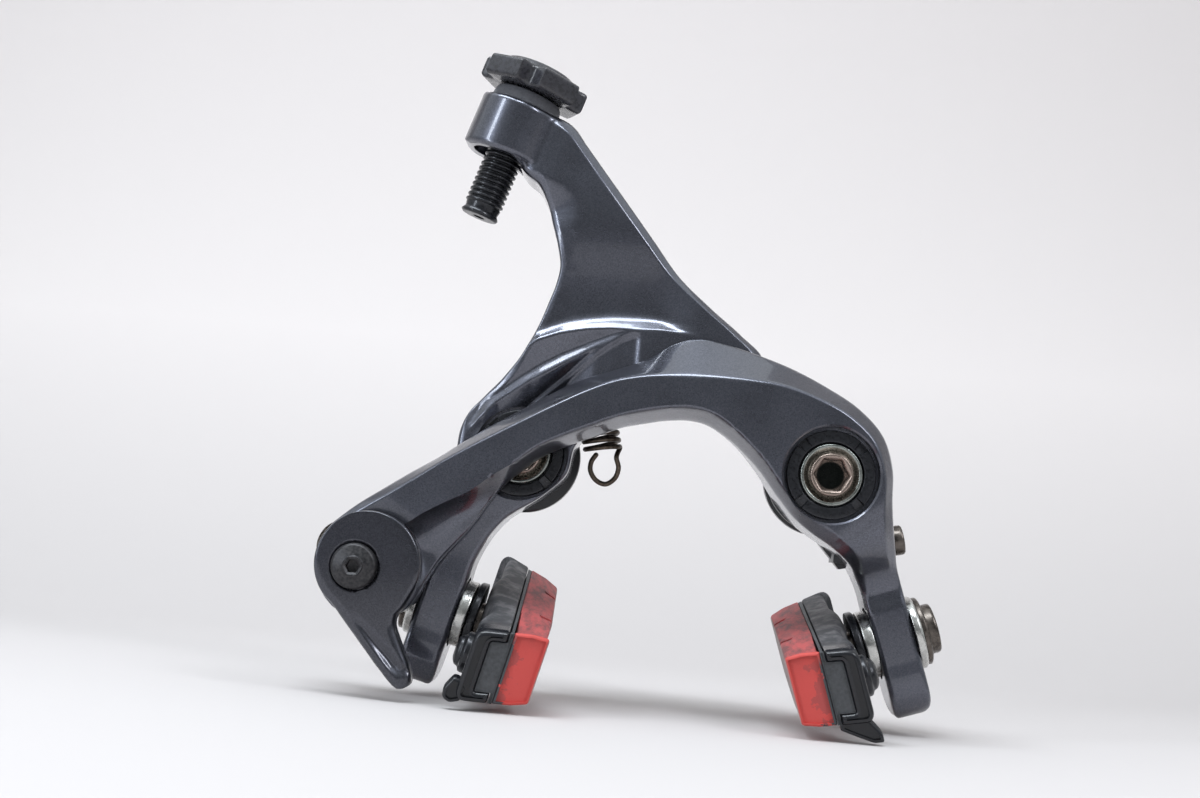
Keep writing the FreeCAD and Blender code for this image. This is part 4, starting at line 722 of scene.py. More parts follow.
# Blackened steel is almost black with a satin sheen; turned steel is bright, a little uneven.
blackened_steel = finish("blackened_steel", "1d1e22", "2c2d31", 0.6, (0.24, 0.4), 0.5,
                         relief=0.004, coat=0.25)
dull_steel = finish("dull_dark_steel", "4f4a46", "6f6862", 1.0, (0.2, 0.38), 1.0, relief=0.004)
turned_steel = finish("turned_bright_steel", "b2b2af", "d2d2ce", 1.0, (0.16, 0.34), 1.1,
                      relief=0.003)
washer_steel = finish("worn_grey_steel", "7f837f", "a0a49f", 1.0, (0.16, 0.32), 1.4, relief=0.004)
bronze = finish("sintered_bronze", "8a6a3c", "a58250", 1.0, (0.35, 0.5), 0.3, relief=0.01)
anodised = finish("black_anodised_alloy", "131417", "1f2024", 0.3, (0.3, 0.45), 0.4,
                  relief=0.004, coat=0.3)

ring_radius, ring_window, ring_height = 7.66, 5.6, 2.6
ring_slots, slot_half, slot_run = 4, 0.85, 1.35


def slotted(radius, height, angle):
    """Sink four slots 2 mm wide into the ring's front rim, one third of its height deep."""
    pitch = 2 * np.pi / ring_slots
    beside = np.abs(np.mod(angle - np.pi / 4 + pitch / 2, pitch) - pitch / 2) * ring_radius
    inside = (1 - ease(slot_half, slot_half + 0.15, beside)) * ease(
        ring_radius - slot_run, ring_radius - slot_run + 0.15, radius)
    sunk = np.clip(height - (height.max() - ring_height / 3), 0, None)
    return radius, height - sunk * inside


def shaded_socket_steel():
    """Warm plated steel, with shade painted in the hex socket: dark near either bolt's axis."""
    material, tree, spot = new_material("plated_steel_painted_socket_shade")
    shade_edge, lit_edge, grain_size = 2.25 * mm, 2.6 * mm, 0.9 * mm
    place = add_node(tree, "SeparateXYZ", spot)
    beside = add_node(tree, "Math", place.outputs["X"], operation="ABSOLUTE")
    off = add_node(tree, "Math", beside, right_pivot * mm, operation="SUBTRACT")
    flat = add_node(tree, "CombineXYZ", off, place.outputs["Z"])
    away = add_node(tree, "VectorMath", flat, operation="LENGTH")
    # Painted shade: the inside of the socket is painted near black.
    unshaded = add_node(tree, "MapRange", away, shade_edge, lit_edge)
    colour = add_node(tree, "Mix", unshaded, linear("1d201e"), linear("97887f"), data_type="RGBA")
    grain = add_node(tree, "TexNoise", spot, Scale=1 / grain_size, Detail=2.0)
    rough = add_node(tree, "MapRange", grain, 0.0, 1.0, 0.12, 0.42)
    bump = add_node(tree, "Bump", Height=grain, Strength=0.3, Distance=0.004 * mm)
    shader = add_node(tree, "BsdfPrincipled", colour, Metallic=0.9, Roughness=rough, Normal=bump)
    add_node(tree, "OutputMaterial", shader)
    return material


def turned(node, corners, centre, axis, material, body, slot, ending="_turned", **how):
    """A turned piece in its material, which stands for a CAD node."""
    made = turned_piece(node + ending, corners, centre, axis, **how)
    return dress(made, material, body, slot, node)


def repaint(node, material):
    """Give a CAD piece another material."""
    nodes[node].data.materials.clear()
    nodes[node].data.materials.append(material)


shaded_socket_bolt_steel = shaded_socket_steel()
for side, x, face in (("left", left_pivot, left_face), ("right", right_pivot, right_face)):
    low = face - counterbore_depth + 0.3
    step, top = low + ring_height / 2, low + ring_height
    head = step + 0.6
    turned("spanner_ring_" + side, [
        (4.5, low), (ring_radius, low, 0.2), (ring_radius, top, 0.3), (ring_window, top, 0.25),
        (ring_window, step, 0.15), (4.5, step, 0.1)],
        (x, 0, 0), front_way, blackened_steel, "mount_side", "black_steel",
        segments=240, shape=slotted)
    turned("cup_washer_" + side, [
        (3.2, step, 0.1), (5.3, step, 0.2), (5.3, step + 1.6, 0.25), (4.8, step + 1.6, 0.25),
        (3.95, step + 0.75, 0.3), (3.2, step + 0.6, 0.1)],
        (x, 0, 0), front_way, washer_steel, "mount_side", "dark_steel")
    turned("mounting_bolt_" + side, [
        (0, -10), (2.3, -10, 0.2), (3, -9.3, 0.3), (3, -0.3), (3.1, -0.3, 0.05), (3.1, head, 0.05),
        (3.7, head, 0.1), (3.7, head + 1.8, 0.5), (3.0, head + 1.8, 0.25, 0.6),
        (2.5, head + 1.3, 0.2, 1), (2.5, head - 1.2, 0, 1), (0, head - 1.2)],
        (x, 0, 0), front_way, shaded_socket_bolt_steel, "mount_side", "plated_steel", closed=False)
    repaint("pivot_axle_" + side, turned_steel)
    repaint("pivot_bush_" + side, bronze)


def softened(node, material, body, slot, width):
    """A merged copy of a CAD node with its flat faces joined and its sharp edges rounded."""
    made = bpy.data.objects.new(node + "_softened", nodes[node].data.copy())
    bpy.context.scene.collection.objects.link(made)
    form = bmesh.new()
    form.from_mesh(made.data)
    bmesh.ops.remove_doubles(form, verts=form.verts, dist=weld_distance)
    bmesh.ops.dissolve_limit(form, angle_limit=np.radians(0.5), verts=form.verts, edges=form.edges)
    form.to_mesh(made.data)
    form.free()
    edge = made.modifiers.new("edge", "BEVEL")
    edge.width = width * mm
    edge.segments = 3
    edge.limit_method = "ANGLE"
    edge.angle_limit = np.radians(30)
    edge.harden_normals = False
    settle(made)
    made.data.polygons.foreach_set("use_smooth", [True] * len(made.data.polygons))
    made.data.set_sharp_from_angle(angle=np.radians(35))
    return dress(made, material, body, slot, node)


softened("booster_plate", anodised, "mount_side", "black_alloy", 0.4)
softened("spring_seat", anodised, "cable_arm", "black_alloy", 0.3)

# Quick release lever.
# A cast disc with a beak for the thumb lies on the end boss. Its cam journal turns in the arm,
# and an eccentric pin with a button head carries the cable anchor behind.
lever_axis = np.array([0.35, -0.937])
lever_side = np.array([0.937, 0.35])
lever_back, lever_front, lever_radius = 24.8, 28.4, 9.0
pin_centre = end_centre + 2.1 * np.array([np.cos(np.radians(194)), np.sin(np.radians(194))])


def disc_row(offset, bevel_width, drop):
    """Chord of the lever's disc, from its left to its right edge."""
    half = np.sqrt(max(lever_radius ** 2 - offset ** 2, 1e-4))
    a = end_centre + lever_axis * offset - lever_side * half
    b = end_centre + lever_axis * offset + lever_side * half
    return [*a, *b, lever_back, lever_front, bevel_width, drop, 0.3, 0.12, min(0.45, half * 0.3), 1]


def beak_row(ax, az, bx, bz):
    """Section of the beak."""
    wide = np.hypot(bx - ax, bz - az)
    return [ax, az, bx, bz, lever_back, lever_front, min(0.9, wide * 0.3), 0.8, 0.5, 0.5,
            min(0.55, wide * 0.2), 1]


disc_rows = [
    (-9.0, 0.2, 0.1), (-8.8, 0.25, 0.1), (-8.0, 0.25, 0.1), (-6.2, 0.25, 0.1), (-3.6, 0.25, 0.12),
    (-0.6, 0.4, 0.25), (2.4, 0.8, 0.6), (5.0, 0.9, 0.8)]
beak_rows = [
    (-53.6, -30.9, -42.5, -26.4), (-52.4, -32.3, -43.5, -28.2), (-51.5, -33.3, -44.4, -29.4),
    (-50.4, -34.6, -44.7, -31.0), (-49.0, -36.2, -43.9, -33.2), (-47.7, -37.7, -42.8, -35.5),
    (-46.3, -39.2, -41.6, -38.0), (-45.0, -40.6, -41.1, -40.2), (-44.2, -41.3, -41.5, -41.1),
    (-43.5, -41.7, -42.3, -41.6)]
lever_stations = [disc_row(*row) for row in disc_rows] + [beak_row(*row) for row in beak_rows]
beak_crest = [
    (-50.5, -30.2), (-49.4, -31.1), (-47.5, -32.7), (-45.5, -34.3), (-43.9, -35.7), (-42.6, -37.4)]
beak_rim = [
    (-58.5, -23.4), (-57.2, -26.0), (-55.1, -28.7), (-52.4, -32.3), (-49.0, -36.2), (-44.0, -41.5)]
scoop_depth, ring_depth = 1.1, 0.35


def lever_face(x, z, height):
    """Scoop under the beak's crest, and the shallow ring in which the button head sits."""
    beyond, rim_gap = -nearest(x, z, beak_crest), nearest(x, z, beak_rim)
    along = (x - end_centre[0]) * lever_axis[0] + (z - end_centre[1]) * lever_axis[1]
    scoop = ease(-0.3, 2.6, beyond) * ease(0.9, 2.6, rim_gap)
    scoop *= ease(7.0, 10.0, along) * (1 - ease(17.5, 20.0, along))
    away = np.hypot(x - pin_centre[0], z - pin_centre[1])
    return height - scoop_depth * scoop - ring_depth * (1 - ease(4.05, 4.25, away))


lever_plate = forging("lever_plate", lever_stations, 150, 90, lever_face)
journal = turned_piece("lever_journal", [(2.5, 16.0), (6.3, 16.0, 0.3), (6.3, 25.0), (2.5, 25.0)],
                       end_3d, front_way)
lever = join("quick_release_lever_cast", [lever_plate, journal])
tidy(lever, 45.0)
# The lever gets a darker copy of the arm paint: painted shade on the lever.
shaded_lever_paint = arm_paint("gloss_paint_blue_black_shaded", "36373e", "4b4c54")
dress(lever, shaded_lever_paint, "lever", "arm_paint", "quick_release_lever")
worn_black = finish("worn_blackened_steel", "2f2f31", "4b4a4b", 0.85, (0.34, 0.52), 0.5,
                    relief=0.006)
turned("lever_pin", [
    (0, 10.7), (2.5, 10.7, 0.2), (2.5, 28.05), (3.9, 28.05, 0.1), (3.9, 29.3, 0.3),
    (3.55, 29.75, 0.2), (1.7, 30.3, 0.25), (1.55, 30.55, 0.1, 0.5), (1.0, 30.2, 0.15, 1),
    (1.0, 28.7, 0, 1), (0, 28.4)],
    (pin_centre[0], 0, pin_centre[1]), front_way, worn_black, "lever", "black_steel", closed=False)

# Cable anchor and arm link.
# Behind the lever a steel swivel block clamps the inner cable between a round plate and its
# bolt. The link pin and its roller tie the two arms together where they cross.
softened("cable_anchor", dull_steel, "anchor", "dark_steel", 0.3)
clamp_centre = (pin_centre[0] - 4.1, 0, pin_centre[1] + 2.8)
turned("cable_clamp_plate", [(2, 8.5), (4.2, 8.5, 0.3), (4.2, 9.7, 0.2), (2, 9.7)],
       clamp_centre, front_way, turned_steel, "anchor", "steel")
turned("cable_clamp_bolt", [
    (0, 7.6), (1.5, 7.3, 0, 1), (1.5, 5.5, 0.1, 1), (1.7, 5.5, 0.1), (3.5, 5.5, 0.4),
    (3.5, 8.5, 0.1), (2.0, 8.5, 0.1), (2.0, 14.3, 0.1), (0, 14.3)],
    clamp_centre, front_way, dull_steel, "anchor", "dark_steel", closed=False)
repaint("link_pin", turned_steel)
repaint("link_roller", turned_steel)

# Centring screw.
# A small hex screw in the shoulder of the cable arm; it pushes on the lug of the spring seat.
turned("centring_screw", [
    (0, -8), (1.2, -8, 0.1), (1.5, -7.6, 0.1), (1.5, 0.1, 0.1), (2.65, 0.1, 0.15), (2.65, 2.0, 0.5),
    (1.2, 2.0, 0.15, 0.6), (1.0, 1.8, 0.1, 1), (1.0, 0.9, 0, 1), (0, 0.7)],
    (39.9, -shoe_plane, -10.2), (0.97, 0, 0.243), dull_steel, "centring_screw", "dark_steel",
    closed=False)

# Cable adjuster.
# A threaded black stem holds the end of the cable housing. The nylon knob with five flat lobes
# lifts it, and a rubber seal keeps dirt out of the boss.
grey_rubber = finish("matt_grey_rubber", "515257", "64656a", 0.0, (0.55, 0.75), 0.4, relief=0.02)
nylon = finish("moulded_black_nylon", "252528", "34343a", 0.0, (0.22, 0.34), 0.8,
               relief=0.008, coat=0.3)
turned("adjuster_seal", [
    (3.55, boss_high), (6.6, boss_high, 0.3), (6.35, boss_high + 1.5, 0.3),
    (6.0, boss_high + 2.4, 0.3), (3.55, boss_high + 2.4)],
    foot_3d, adjuster_3d, grey_rubber, "housing_arm", "grey_rubber", "_moulded")
knob_low, knob_top, knob_lobes = 10.0, 14.0, 5
hollow_reach, hollow_depth = np.radians(12.5), 0.2


def lobed(radius, height, angle):
    """Five flat faces with a round hollow between each two; the middle of the knob stays round."""
    half = np.pi / knob_lobes
    local = np.abs(np.mod(angle + half, 2 * half) - half)
    corner = half - hollow_reach
    flat = np.cos(corner) / np.cos(np.minimum(local, corner))
    dip = hollow_depth * (1 - np.clip((half - local) / hollow_reach, 0, 1) ** 2)
    lobe = np.minimum(flat * (1 + 0.012 * np.cos(local * 3)), 1) - dip
    return radius * (1 + (lobe - 1) * ease(7.2, 8.8, radius)), height


turned("adjuster_knob", [
    (3.55, knob_low), (9.4, knob_low, 0.3), (9.9, knob_low + 0.5, 0.4), (9.9, knob_top - 0.4, 0.4),
    (9.4, knob_top, 0.3), (7.2, knob_top, 0.1), (6.9, knob_top + 0.5, 0.2),
    (6.4, knob_top + 1.1, 0.5), (3.55, knob_top + 1.15)],
    foot_3d, adjuster_3d, nylon, "knob", "black_plastic", "_moulded", segments=360, shape=lobed)
stem_bottom, stem_top, stem_radius, stem_hole, cable_hole = -14.2, 15.1, 3.5, 2.55, 1.1
thread_pitch, thread_depth = 1.0, 0.42
notch_place, notch_depth, gap_way, gap_depth = -12.6, 0.4, np.radians(235), 0.8


def threaded(radius, height, angle):
    """Round thread: the radius follows a softened wave that climbs one pitch a turn.

    Below it are the groove and the gap of a retaining clip.
    """
    wave = 0.5 + 0.5 * np.cos(2 * np.pi * height / thread_pitch - angle)
    outside = ease(3.2, 3.3, radius)
    on = ease(-12.3, -11.7, height) * (1 - ease(13.6, 14.4, height)) * outside
    notch = (1 - ease(0.5, 0.8, np.abs(height - notch_place))) * outside
    gap = (height < -11.9) & (height > -13.6) & (radius > 3.2)
    gap = gap & (np.abs(np.mod(angle - gap_way, 2 * np.pi)) < 0.35)
    cut = thread_depth * on * (1 - wave) ** 1.6 + notch_depth * notch * (1 - on) + gap_depth * gap
    return radius - cut, height


stem_heights = np.concatenate([np.linspace(-12.0, 10.2, 360), np.linspace(10.6, 14.8, 12)])
turned("adjuster_stem", [
    (cable_hole, stem_top - 7), (cable_hole, stem_bottom), (3.2, stem_bottom, 0.2),
    (stem_radius, stem_bottom + 0.3, 0.2), (stem_radius, stem_bottom + 1.2, 0.2),
    *[(stem_radius, height) for height in stem_heights],
    (stem_radius, stem_top, 0.3), (stem_hole, stem_top, 0.2), (stem_hole, stem_top - 7)],
    foot_3d, adjuster_3d, blackened_steel, "stem", "black_steel", "_threaded",
    segments=72, shape=threaded)

# Return spring.
# Oiled round wire 0.9 mm thick: a short leg goes up into the housing arm, two turns lie under
# it, and the free end hangs down and bends back as an open hook.
spring_wire = finish("oiled_spring_wire", "4a423b", "6b6157", 1.0, (0.3, 0.5), 0.5, relief=0.006)
wire_radius, coil_radius, coil_pitch, coil_turns = 0.45, 3.1, 1.35, 2.25
coil_lean = np.radians(14.0)
coil_axis = np.array([np.sin(coil_lean), 0, -np.cos(coil_lean)])
coil_across = np.cross(coil_axis, (0, -1, 0))
coil_across /= np.linalg.norm(coil_across)
coil_front = np.cross(coil_across, coil_axis)
coil_centre = np.array([-13.0, -shoe_plane, 3.4])


def round_wire(name, path, radius, sides=14):
    """A circle carried along a path without twist, with domed ends."""
    way = np.gradient(path, axis=0)
    way /= np.linalg.norm(way, axis=1)[:, None]
    across = np.zeros_like(path)
    beside = np.cross(way[0], (0, 1, 0.01))
    for index, ahead in enumerate(way):
        beside = beside - ahead * (beside @ ahead)
        beside = beside / np.linalg.norm(beside)
        across[index] = beside
    other = np.cross(way, across)
    angle = np.linspace(0, 2 * np.pi, sides, endpoint=False)
    ring = (np.cos(angle)[:, None] * across[:, None]
            + np.sin(angle)[:, None] * other[:, None])
    dome = np.radians([0, 30, 60, 85])
    start = [path[0] - way[0] * radius * np.cos(turn) + ring[0] * radius * np.sin(turn)
             for turn in dome]
    stop = [path[-1] + way[-1] * radius * np.cos(turn) + ring[-1] * radius * np.sin(turn)
            for turn in dome[::-1]]
    points = np.concatenate([np.array(start), path[:, None] + ring * radius, np.array(stop)])
    return grid_object(name, points, closed_v=True)


coil_turning = np.linspace(0, 1, 28)[:, None]
coil_angle = np.radians(90 + 360 * coil_turns * coil_turning)
climb = coil_pitch * coil_turns * (coil_turning - 0.5)
coil = coil_centre + climb * coil_axis + coil_radius * (
    np.cos(coil_angle) * coil_across + np.sin(coil_angle) * coil_front)
leg_x = coil[0][0] + 2.2
hook = coil_centre + np.array([
    (2.9, -1.2, -2.6), (3.4, -0.4, -4.4), (2.9, 0, -6.3), (1.3, 0, -7.5), (-0.5, 0, -6.9),
    (-1.6, 0, -5.2), (-1.5, 0, -3.6), (-0.8, 0, -2.4)])
leg = [(leg_x, -shoe_plane, 11.0), (leg_x, -shoe_plane, 9.4), (leg_x, -shoe_plane, 7.8),
       (leg_x - 0.4, -shoe_plane - 1.0, 6.2)]
route = np.concatenate([leg, coil, hook])
reach = np.concatenate([[0], np.cumsum(np.linalg.norm(np.diff(route, axis=0), axis=1) ** 0.5)])
path = smooth(route, reach, np.linspace(0, reach[-1], 420))
spring = round_wire("return_spring_wire", path, wire_radius)
dress(spring, spring_wire, "housing_arm", "spring_steel", "return_spring")
repaint("pivot_spring", spring_wire)

# Shoe bolts and washers.
# Each shoe is clamped in the slot of its leg: a dark flanged bolt and a thick steel washer
# outside, a bright domed washer and a black hollow one between the leg and the holder.

# Of each shoe: its side, place, direction towards the rim, tilt, pitch and toe-in in degrees.
shoe_sides = (("left", left_shoe, 1, left_lean, 8.0, 4.0),
              ("right", right_shoe, -1, right_lean, 5.5, 3.0))


def turn_about(axis, degrees):
    """Rotation matrix about an axis."""
    return np.array(Matrix.Rotation(np.radians(degrees), 3, Vector(axis)))


def shoe_turn(inward, tilt, pitch, toe):
    """How a shoe stands: tilted with its leg, with its front end down and towards the rim."""
    return (turn_about((0, 1, 0), inward * tilt) @ turn_about((1, 0, 0), pitch)
            @ turn_about((0, 0, 1), inward * toe))


washers = (
    ("outer_washer_", turned_steel, [
        (3, -5.0), (6.1, -5.0, 0.2), (6.5, -4.6, 0.2), (6.5, -3.5, 0.2), (3, -3.5)]),
    ("domed_washer_", turned_steel, [
        (3, 3.55), (6, 3.55, 0.2), (6, 5.3, 0.2), (5.7, 5.5, 0.1), (3, 5.5)]),
    ("hollow_washer_", blackened_steel, [
        (3, 5.5), (4.8, 5.5, 0.2), (6.2, 5.75, 0.3), (6.4, 6.1, 0.15), (6.4, 7.1, 0.25), (3, 7.1)]))
for side, centre, inward, tilt, pitch, toe in shoe_sides:
    body = "shoe_clamp_" + side
    middle = (centre[0], -shoe_plane, centre[1])
    towards = turn_about((0, 1, 0), inward * tilt) @ np.array([inward, 0, 0])
    for node, material, corners in washers:
        turned(node + side, corners, middle, towards, material, body, "steel")
    turned("shoe_bolt_" + side, [
        (0, -6.2), (2.0, -6.4, 0, 1), (2.0, -7.7, 0.15, 1), (2.3, -7.9, 0.2, 0.5), (4.4, -7.9, 0.6),
        (4.4, -6.1, 0.1), (5.4, -6.05, 0.2), (6, -5.75, 0.2), (6, -5.0, 0.1), (3, -5.0),
        (3, 9.4, 0.3), (0, 9.4)], middle, towards, dull_steel, body, "dark_steel", closed=False)

# Pad holders.
# Cast alloy channels, matt and dusty on top, with a glossy frame at the open front end. A black
# dome screw holds the pad, and a flat fin under the front guides the wheel in.
def holder_material():
    """Black anodised casting: grey and dusty along its back, gloss black on the front frame."""
    material, tree, spot = new_material("anodised_casting_dusty")
    frame_edge, back_edge, dust_size, grain_size = -31.5 * mm, -28.5 * mm, 3.6 * mm, 0.5 * mm
    place = add_node(tree, "SeparateXYZ", spot)
    back = add_node(tree, "MapRange", place.outputs["Y"], frame_edge, back_edge)
    base = add_node(tree, "Mix", back, linear("1c1d21"), linear("37383b"), data_type="RGBA")
    cloud = add_node(tree, "TexNoise", spot, Scale=1 / dust_size, Detail=7.0, Roughness=0.7)
    dust = add_node(tree, "MapRange", cloud, 0.46, 0.66, 0.0, 0.55)
    dust = add_node(tree, "Math", dust, back, operation="MULTIPLY")
    colour = add_node(tree, "Mix", dust, base, linear("8a8789"), data_type="RGBA")
    rough = add_node(tree, "MapRange", back, 0.0, 1.0, 0.22, 0.62)
    grain = add_node(tree, "TexNoise", spot, Scale=1 / grain_size, Detail=3.0)
    bump = add_node(tree, "Bump", Height=grain, Strength=0.4, Distance=0.02 * mm)
    shader = add_node(tree, "BsdfPrincipled", colour, Metallic=0.1, Roughness=rough, Normal=bump)
    add_node(tree, "OutputMaterial", shader)
    return material


casting = holder_material()
holder_front, holder_end, holder_half, holder_wall = -26.6, 23.4, 6.2, 1.8
holder_near, holder_mouth = 7.6, 13.0


def shoe_points(points, centre, inward, tilt, pitch, toe):
    """Place points of a shoe's own frame: X towards the rim, Y back, Z up the leg.

    The holder's back is twisted a little: it stands higher at the rear end than at the front.
    """
    turn = shoe_turn(inward, tilt, pitch, toe)
    rise = 2.3 if inward > 0 else 1.6
    twist = np.clip((19.6 - points[..., 0]) / 10, 0, 1.1) * (points[..., 1] + 2) / 25 * rise
    points = points + twist[..., None] * np.array([0, 0, 1]) * (points[..., :1] > holder_near - 3)
    middle = np.array([centre[0], -shoe_plane, centre[1]])
    return points * np.array([inward, 1, 1]) @ turn.T + middle


def carried(outline, stations):
    """A closed outline of (x, z) carried along Y.

    Each station is (y, inset, bend): the outline is drawn in by its inset along its own
    normals, then bent by a function of its points.
    """
    ahead, behind = np.roll(outline, -1, axis=0), np.roll(outline, 1, axis=0)
    along = ahead - behind
    along /= np.maximum(np.linalg.norm(along, axis=1), 1e-9)[:, None]
    area = np.sum(outline[:, 0] * ahead[:, 1] - ahead[:, 0] * outline[:, 1])
    normal = np.stack([-along[:, 1], along[:, 0]], axis=-1) * np.sign(area)
    rows = []
    for y, inset, bend in stations:
        ring = outline + normal * inset
        if bend is not None:
            ring = bend(ring)
        rows.append(np.stack([ring[:, 0], np.full(len(ring), y), ring[:, 1]], axis=-1))
    return np.array(rows)


def ends(front, back, radius, between):
    """Stations from front to back with rounded ends, and the given places between."""
    turned = np.radians([0, 25, 50, 70, 90])
    steps = [(radius * (1 - np.sin(a)), radius * (1 - np.cos(a))) for a in turned]
    nose = [(front + step, inset, None) for step, inset in steps]
    tail = [(back - step, inset, None) for step, inset in steps]
    return nose + between + tail


def solid_run(name, outline, stations, spot):
    """Closed solid of an outline carried along Y and placed in a shoe's frame."""
    points = shoe_points(carried(outline, stations), *spot)
    return grid_object(name, points, closed_v=True, caps=(0, -1))


holder_inner = holder_half - holder_wall
channel = rounded([
    (holder_near, -holder_half, 1.8), (holder_mouth, -holder_half, 0.5),
    (holder_mouth, -holder_inner, 0.3), (10.4, -holder_inner, 0.6), (10.4, holder_inner, 0.6),
    (holder_mouth, holder_inner, 0.3), (holder_mouth, holder_half, 0.5),
    (holder_near, holder_half, 2.2)], True, 6)[:, :2]
end_wall = rounded([
    (9.5, -4.8, 0.3), (12.8, -4.8, 0.3), (12.8, 4.8, 0.3), (9.5, 4.8, 0.3)], True)[:, :2]


def waisted(y):
    """Thin the holder's back away from the bolt and the pad screw."""
    keep = max(float(np.exp(-(y / 8.5) ** 4)), float(np.exp(-((y + 21.5) / 6.5) ** 4)))

    def bend(ring):
        share = np.clip((10.1 - ring[:, 0]) / 2.5, 0, 1) * (1 - keep)
        return ring + np.stack([1.1 * share, -0.5 * np.sign(ring[:, 1]) * share], axis=-1)

    return bend


fins = {
    "left": [(5.4, -5.1, 0.5), (5.7, -6.8, 0.6), (7.1, -7.3, 0.6), (8.8, -6.4, 0.5),
             (9.2, -4.0, 0.3), (8.0, -3.0, 0.5), (6.5, -2.8, 0.6)],
    "right": [(13.2, -5.6, 0.2), (8.6, -5.6, 0.3), (7.6, -7.3, 0.5), (7.0, -8.6, 0.5),
              (7.1, -10.0, 0.3), (8.8, -9.8, 0.5), (11.5, -8.4, 0.8), (13.6, -7.2, 0.3)]}
wall_run = [(holder_end - 1.8, 0, None), (holder_end - 0.2, 0, None)]
channel_run = ends(holder_front, holder_end, 0.8, [
    (y, 0, waisted(y)) for y in np.linspace(holder_front + 1.2, holder_end - 1.2, 60)])
for side, *spot in shoe_sides:
    main = solid_run("channel", channel, channel_run, spot)
    wall = solid_run("end_wall", end_wall, wall_run, spot)
    fin = solid_run("fin", rounded(fins[side], True, 6)[:, :2], ends(-25.9, -23.4, 0.6, []), spot)
    holder = join("shoe_holder_" + side + "_cast", [main, wall, fin])
    dress(holder, casting, "shoe_" + side, "black_alloy", "shoe_holder_" + side)
    inward = spot[1]
    turned("pad_screw_" + side, [
        (0, -2.4), (1.5, -2.4, 0.5), (2.5, -1.9, 0.5), (2.7, -1.2, 0.3), (3.5, -0.9, 0.4),
        (3.5, 0.4), (0, 0.4)],
        shoe_points(np.array([[holder_near, -20.5, 0.0]]), *spot)[0],
        shoe_turn(*spot[1:]) @ np.array([inward, 0, 0]),
        blackened_steel, "shoe_" + side, "black_steel", closed=False)

# Brake pads.
# A hard dark rubber base slides into the holder and carries the moulded red compound, which has
# two water grooves. The red is smeared with dark dust, and its face is worn pale by the rim.
black_rubber = finish("hard_dark_rubber", "333537", "47494c", 0.0, (0.5, 0.7), 0.6, relief=0.03,
                      dust=("6a6a6c", 0.25))


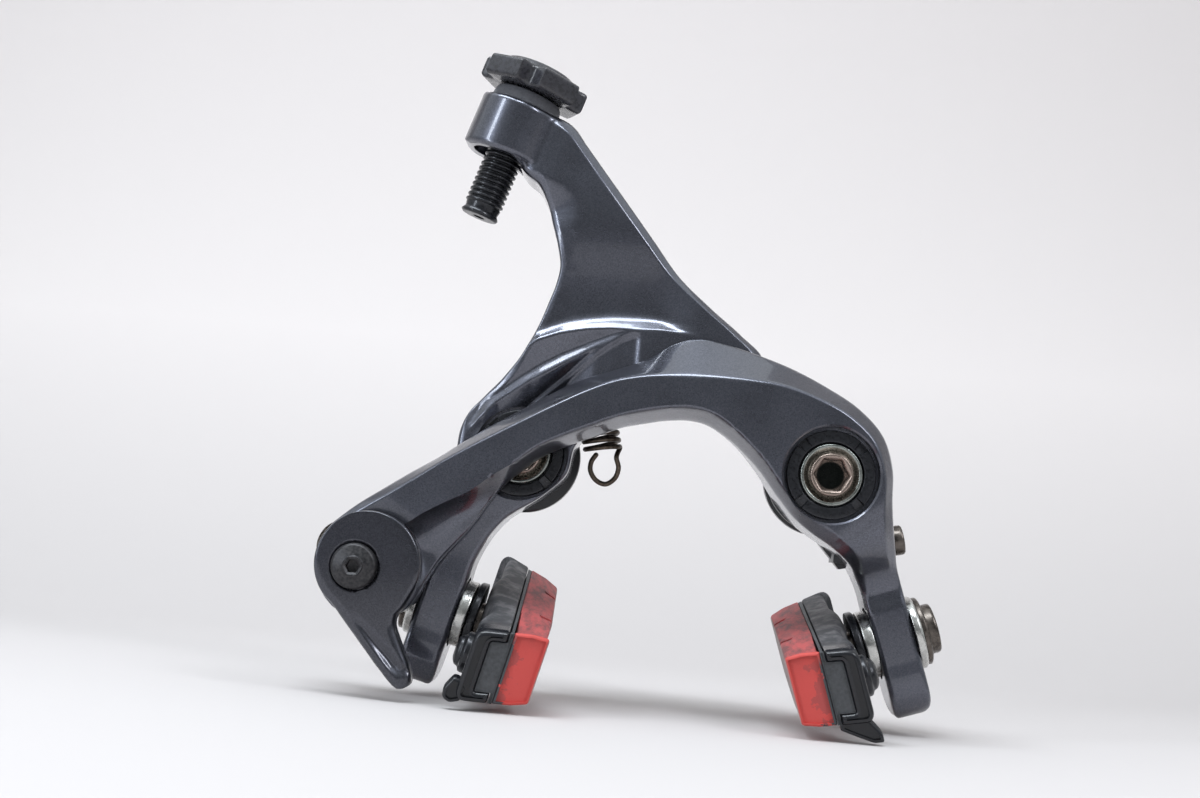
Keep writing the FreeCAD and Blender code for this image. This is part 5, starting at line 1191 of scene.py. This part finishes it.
def compound_material(side, centre, inward, tilt, pitch, toe):
    """Moulded red rubber: bright at the front end, dusty and darker on top, pale on the worn face.

    The Mapping node turns object coordinates into the shoe's own frame, where X is the distance
    from the leg and Z the height, so that the dark base wanders up the front end in waves.
    """
    material, tree, spot = new_material("moulded_red_compound_" + side)
    smear_size, wave_size, grit_size = 2.4 * mm, 2.2 * mm, 0.35 * mm
    turn = Matrix(shoe_turn(inward, tilt, pitch, toe).tolist()).transposed().to_euler()
    middle = (centre[0] * mm, -shoe_plane * mm, centre[1] * mm)
    moved = add_node(tree, "VectorMath", spot, middle, operation="SUBTRACT")
    own = add_node(tree, "Mapping", moved, Rotation=turn)
    place = add_node(tree, "SeparateXYZ", own)
    away = add_node(tree, "Math", place.outputs["X"], inward, operation="MULTIPLY")
    back = add_node(tree, "MapRange", place.outputs["Y"], -25.8 * mm, -24.0 * mm, 0.12, 0.72)
    tone = add_node(tree, "Mix", back, linear("c8463f"), linear("a54c4d"), data_type="RGBA")

    # Dust lies in streaks on top, and thinner on the front end.
    drawn = add_node(tree, "Mapping", own, Scale=(1.0, 0.35, 1.0))
    smear = add_node(tree, "TexNoise", drawn, Scale=1 / smear_size, Detail=7.0, Roughness=0.72)
    dirt = add_node(tree, "MapRange", smear, 0.42, 0.6)
    top = add_node(tree, "MapRange", place.outputs["Z"], 1.0 * mm, 5.6 * mm)
    veil = add_node(tree, "Math", top, back, operation="MULTIPLY")
    dirty = add_node(tree, "Math", dirt, veil, operation="MULTIPLY")
    soiled = add_node(tree, "Mix", dirty, tone, linear("3a3234"), data_type="RGBA")

    # The dark base shows at the front end, below a wavy line.
    wave = add_node(tree, "TexNoise", own, Scale=1 / wave_size, Detail=6.0, Roughness=0.65)
    shore = add_node(tree, "MapRange", wave, 0.3, 0.7, 13.2 * mm, 17.6 * mm)
    above = add_node(tree, "Math", away, shore, operation="SUBTRACT")
    under = add_node(tree, "MapRange", above, -0.1 * mm, 0.15 * mm, 1.0, 0.0)
    front = add_node(tree, "MapRange", place.outputs["Y"], -25.9 * mm, -25.6 * mm, 1.0, 0.0)
    low = add_node(tree, "MapRange", place.outputs["Z"], 3.0 * mm, 5.0 * mm, 1.0, 0.0)
    where = add_node(tree, "Math", front, low, operation="MULTIPLY")
    share = add_node(tree, "Math", where, under, operation="MULTIPLY")
    based = add_node(tree, "Mix", share, soiled, linear("3c3e41"), data_type="RGBA")

    face = add_node(tree, "MapRange", away, 19.35 * mm, 19.55 * mm, 0.0, 0.9)
    worn = add_node(tree, "Mix", face, based, linear("a09a97"), data_type="RGBA")
    grit = add_node(tree, "TexNoise", spot, Scale=1 / grit_size, Detail=2.0)
    bump = add_node(tree, "Bump", Height=grit, Strength=0.5, Distance=0.04 * mm)
    shader = add_node(tree, "BsdfPrincipled", worn, Roughness=0.62, Normal=bump)
    add_node(tree, "OutputMaterial", shader)
    return material


pad_front, pad_back, pad_half, pad_face, lip_face, base_top = -26.2, 22.8, 6.2, 19.6, 13.8, 13.1
groove_width, groove_depth, groove_edge = 1.6, 2.2, 0.25
core = rounded([
    (10.4, -4.4, 0.4), (base_top, -4.4, 0), (base_top, -pad_half, 0.1),
    (lip_face, -pad_half, 0.1), (lip_face, pad_half, 0.1), (base_top, pad_half, 0.1),
    (base_top, 4.4, 0), (10.4, 4.4, 0.4)], True)[:, :2]
block = rounded([
    (lip_face, -pad_half, 0.3), (16.8, -pad_half, 0.2), (pad_face, -pad_half + 0.5, 0.7),
    (pad_face, pad_half - 0.5, 0.7), (16.8, pad_half, 0.2),
    (lip_face, pad_half, 0.3)], True, 6)[:, :2]


def cut_to(depth):
    """Push the pad's face back by a depth."""
    def bend(ring):
        return np.stack([np.minimum(ring[:, 0], pad_face - depth), ring[:, 1]], axis=-1)
    return bend


groove = ((-groove_edge, 0), (0, groove_edge), (0.05, groove_depth),
          (groove_width - 0.05, groove_depth), (groove_width, groove_edge),
          (groove_width + groove_edge, 0))
block_run = ends(pad_front, pad_back, 0.5, [
    (start + step, 0, cut_to(depth)) for start in (-11.5, 9.5) for step, depth in groove])
for side, *spot in shoe_sides:
    body = "shoe_" + side
    base = solid_run("pad_base_" + side + "_moulded", core, ends(pad_front, 21.6, 0.2, []), spot)
    dress(base, black_rubber, body, "black_rubber", "pad_base_" + side)
    compound = solid_run("pad_compound_" + side + "_moulded", block, block_run, spot)
    dress(compound, compound_material(side, *spot), body, "red_compound", "pad_compound_" + side)
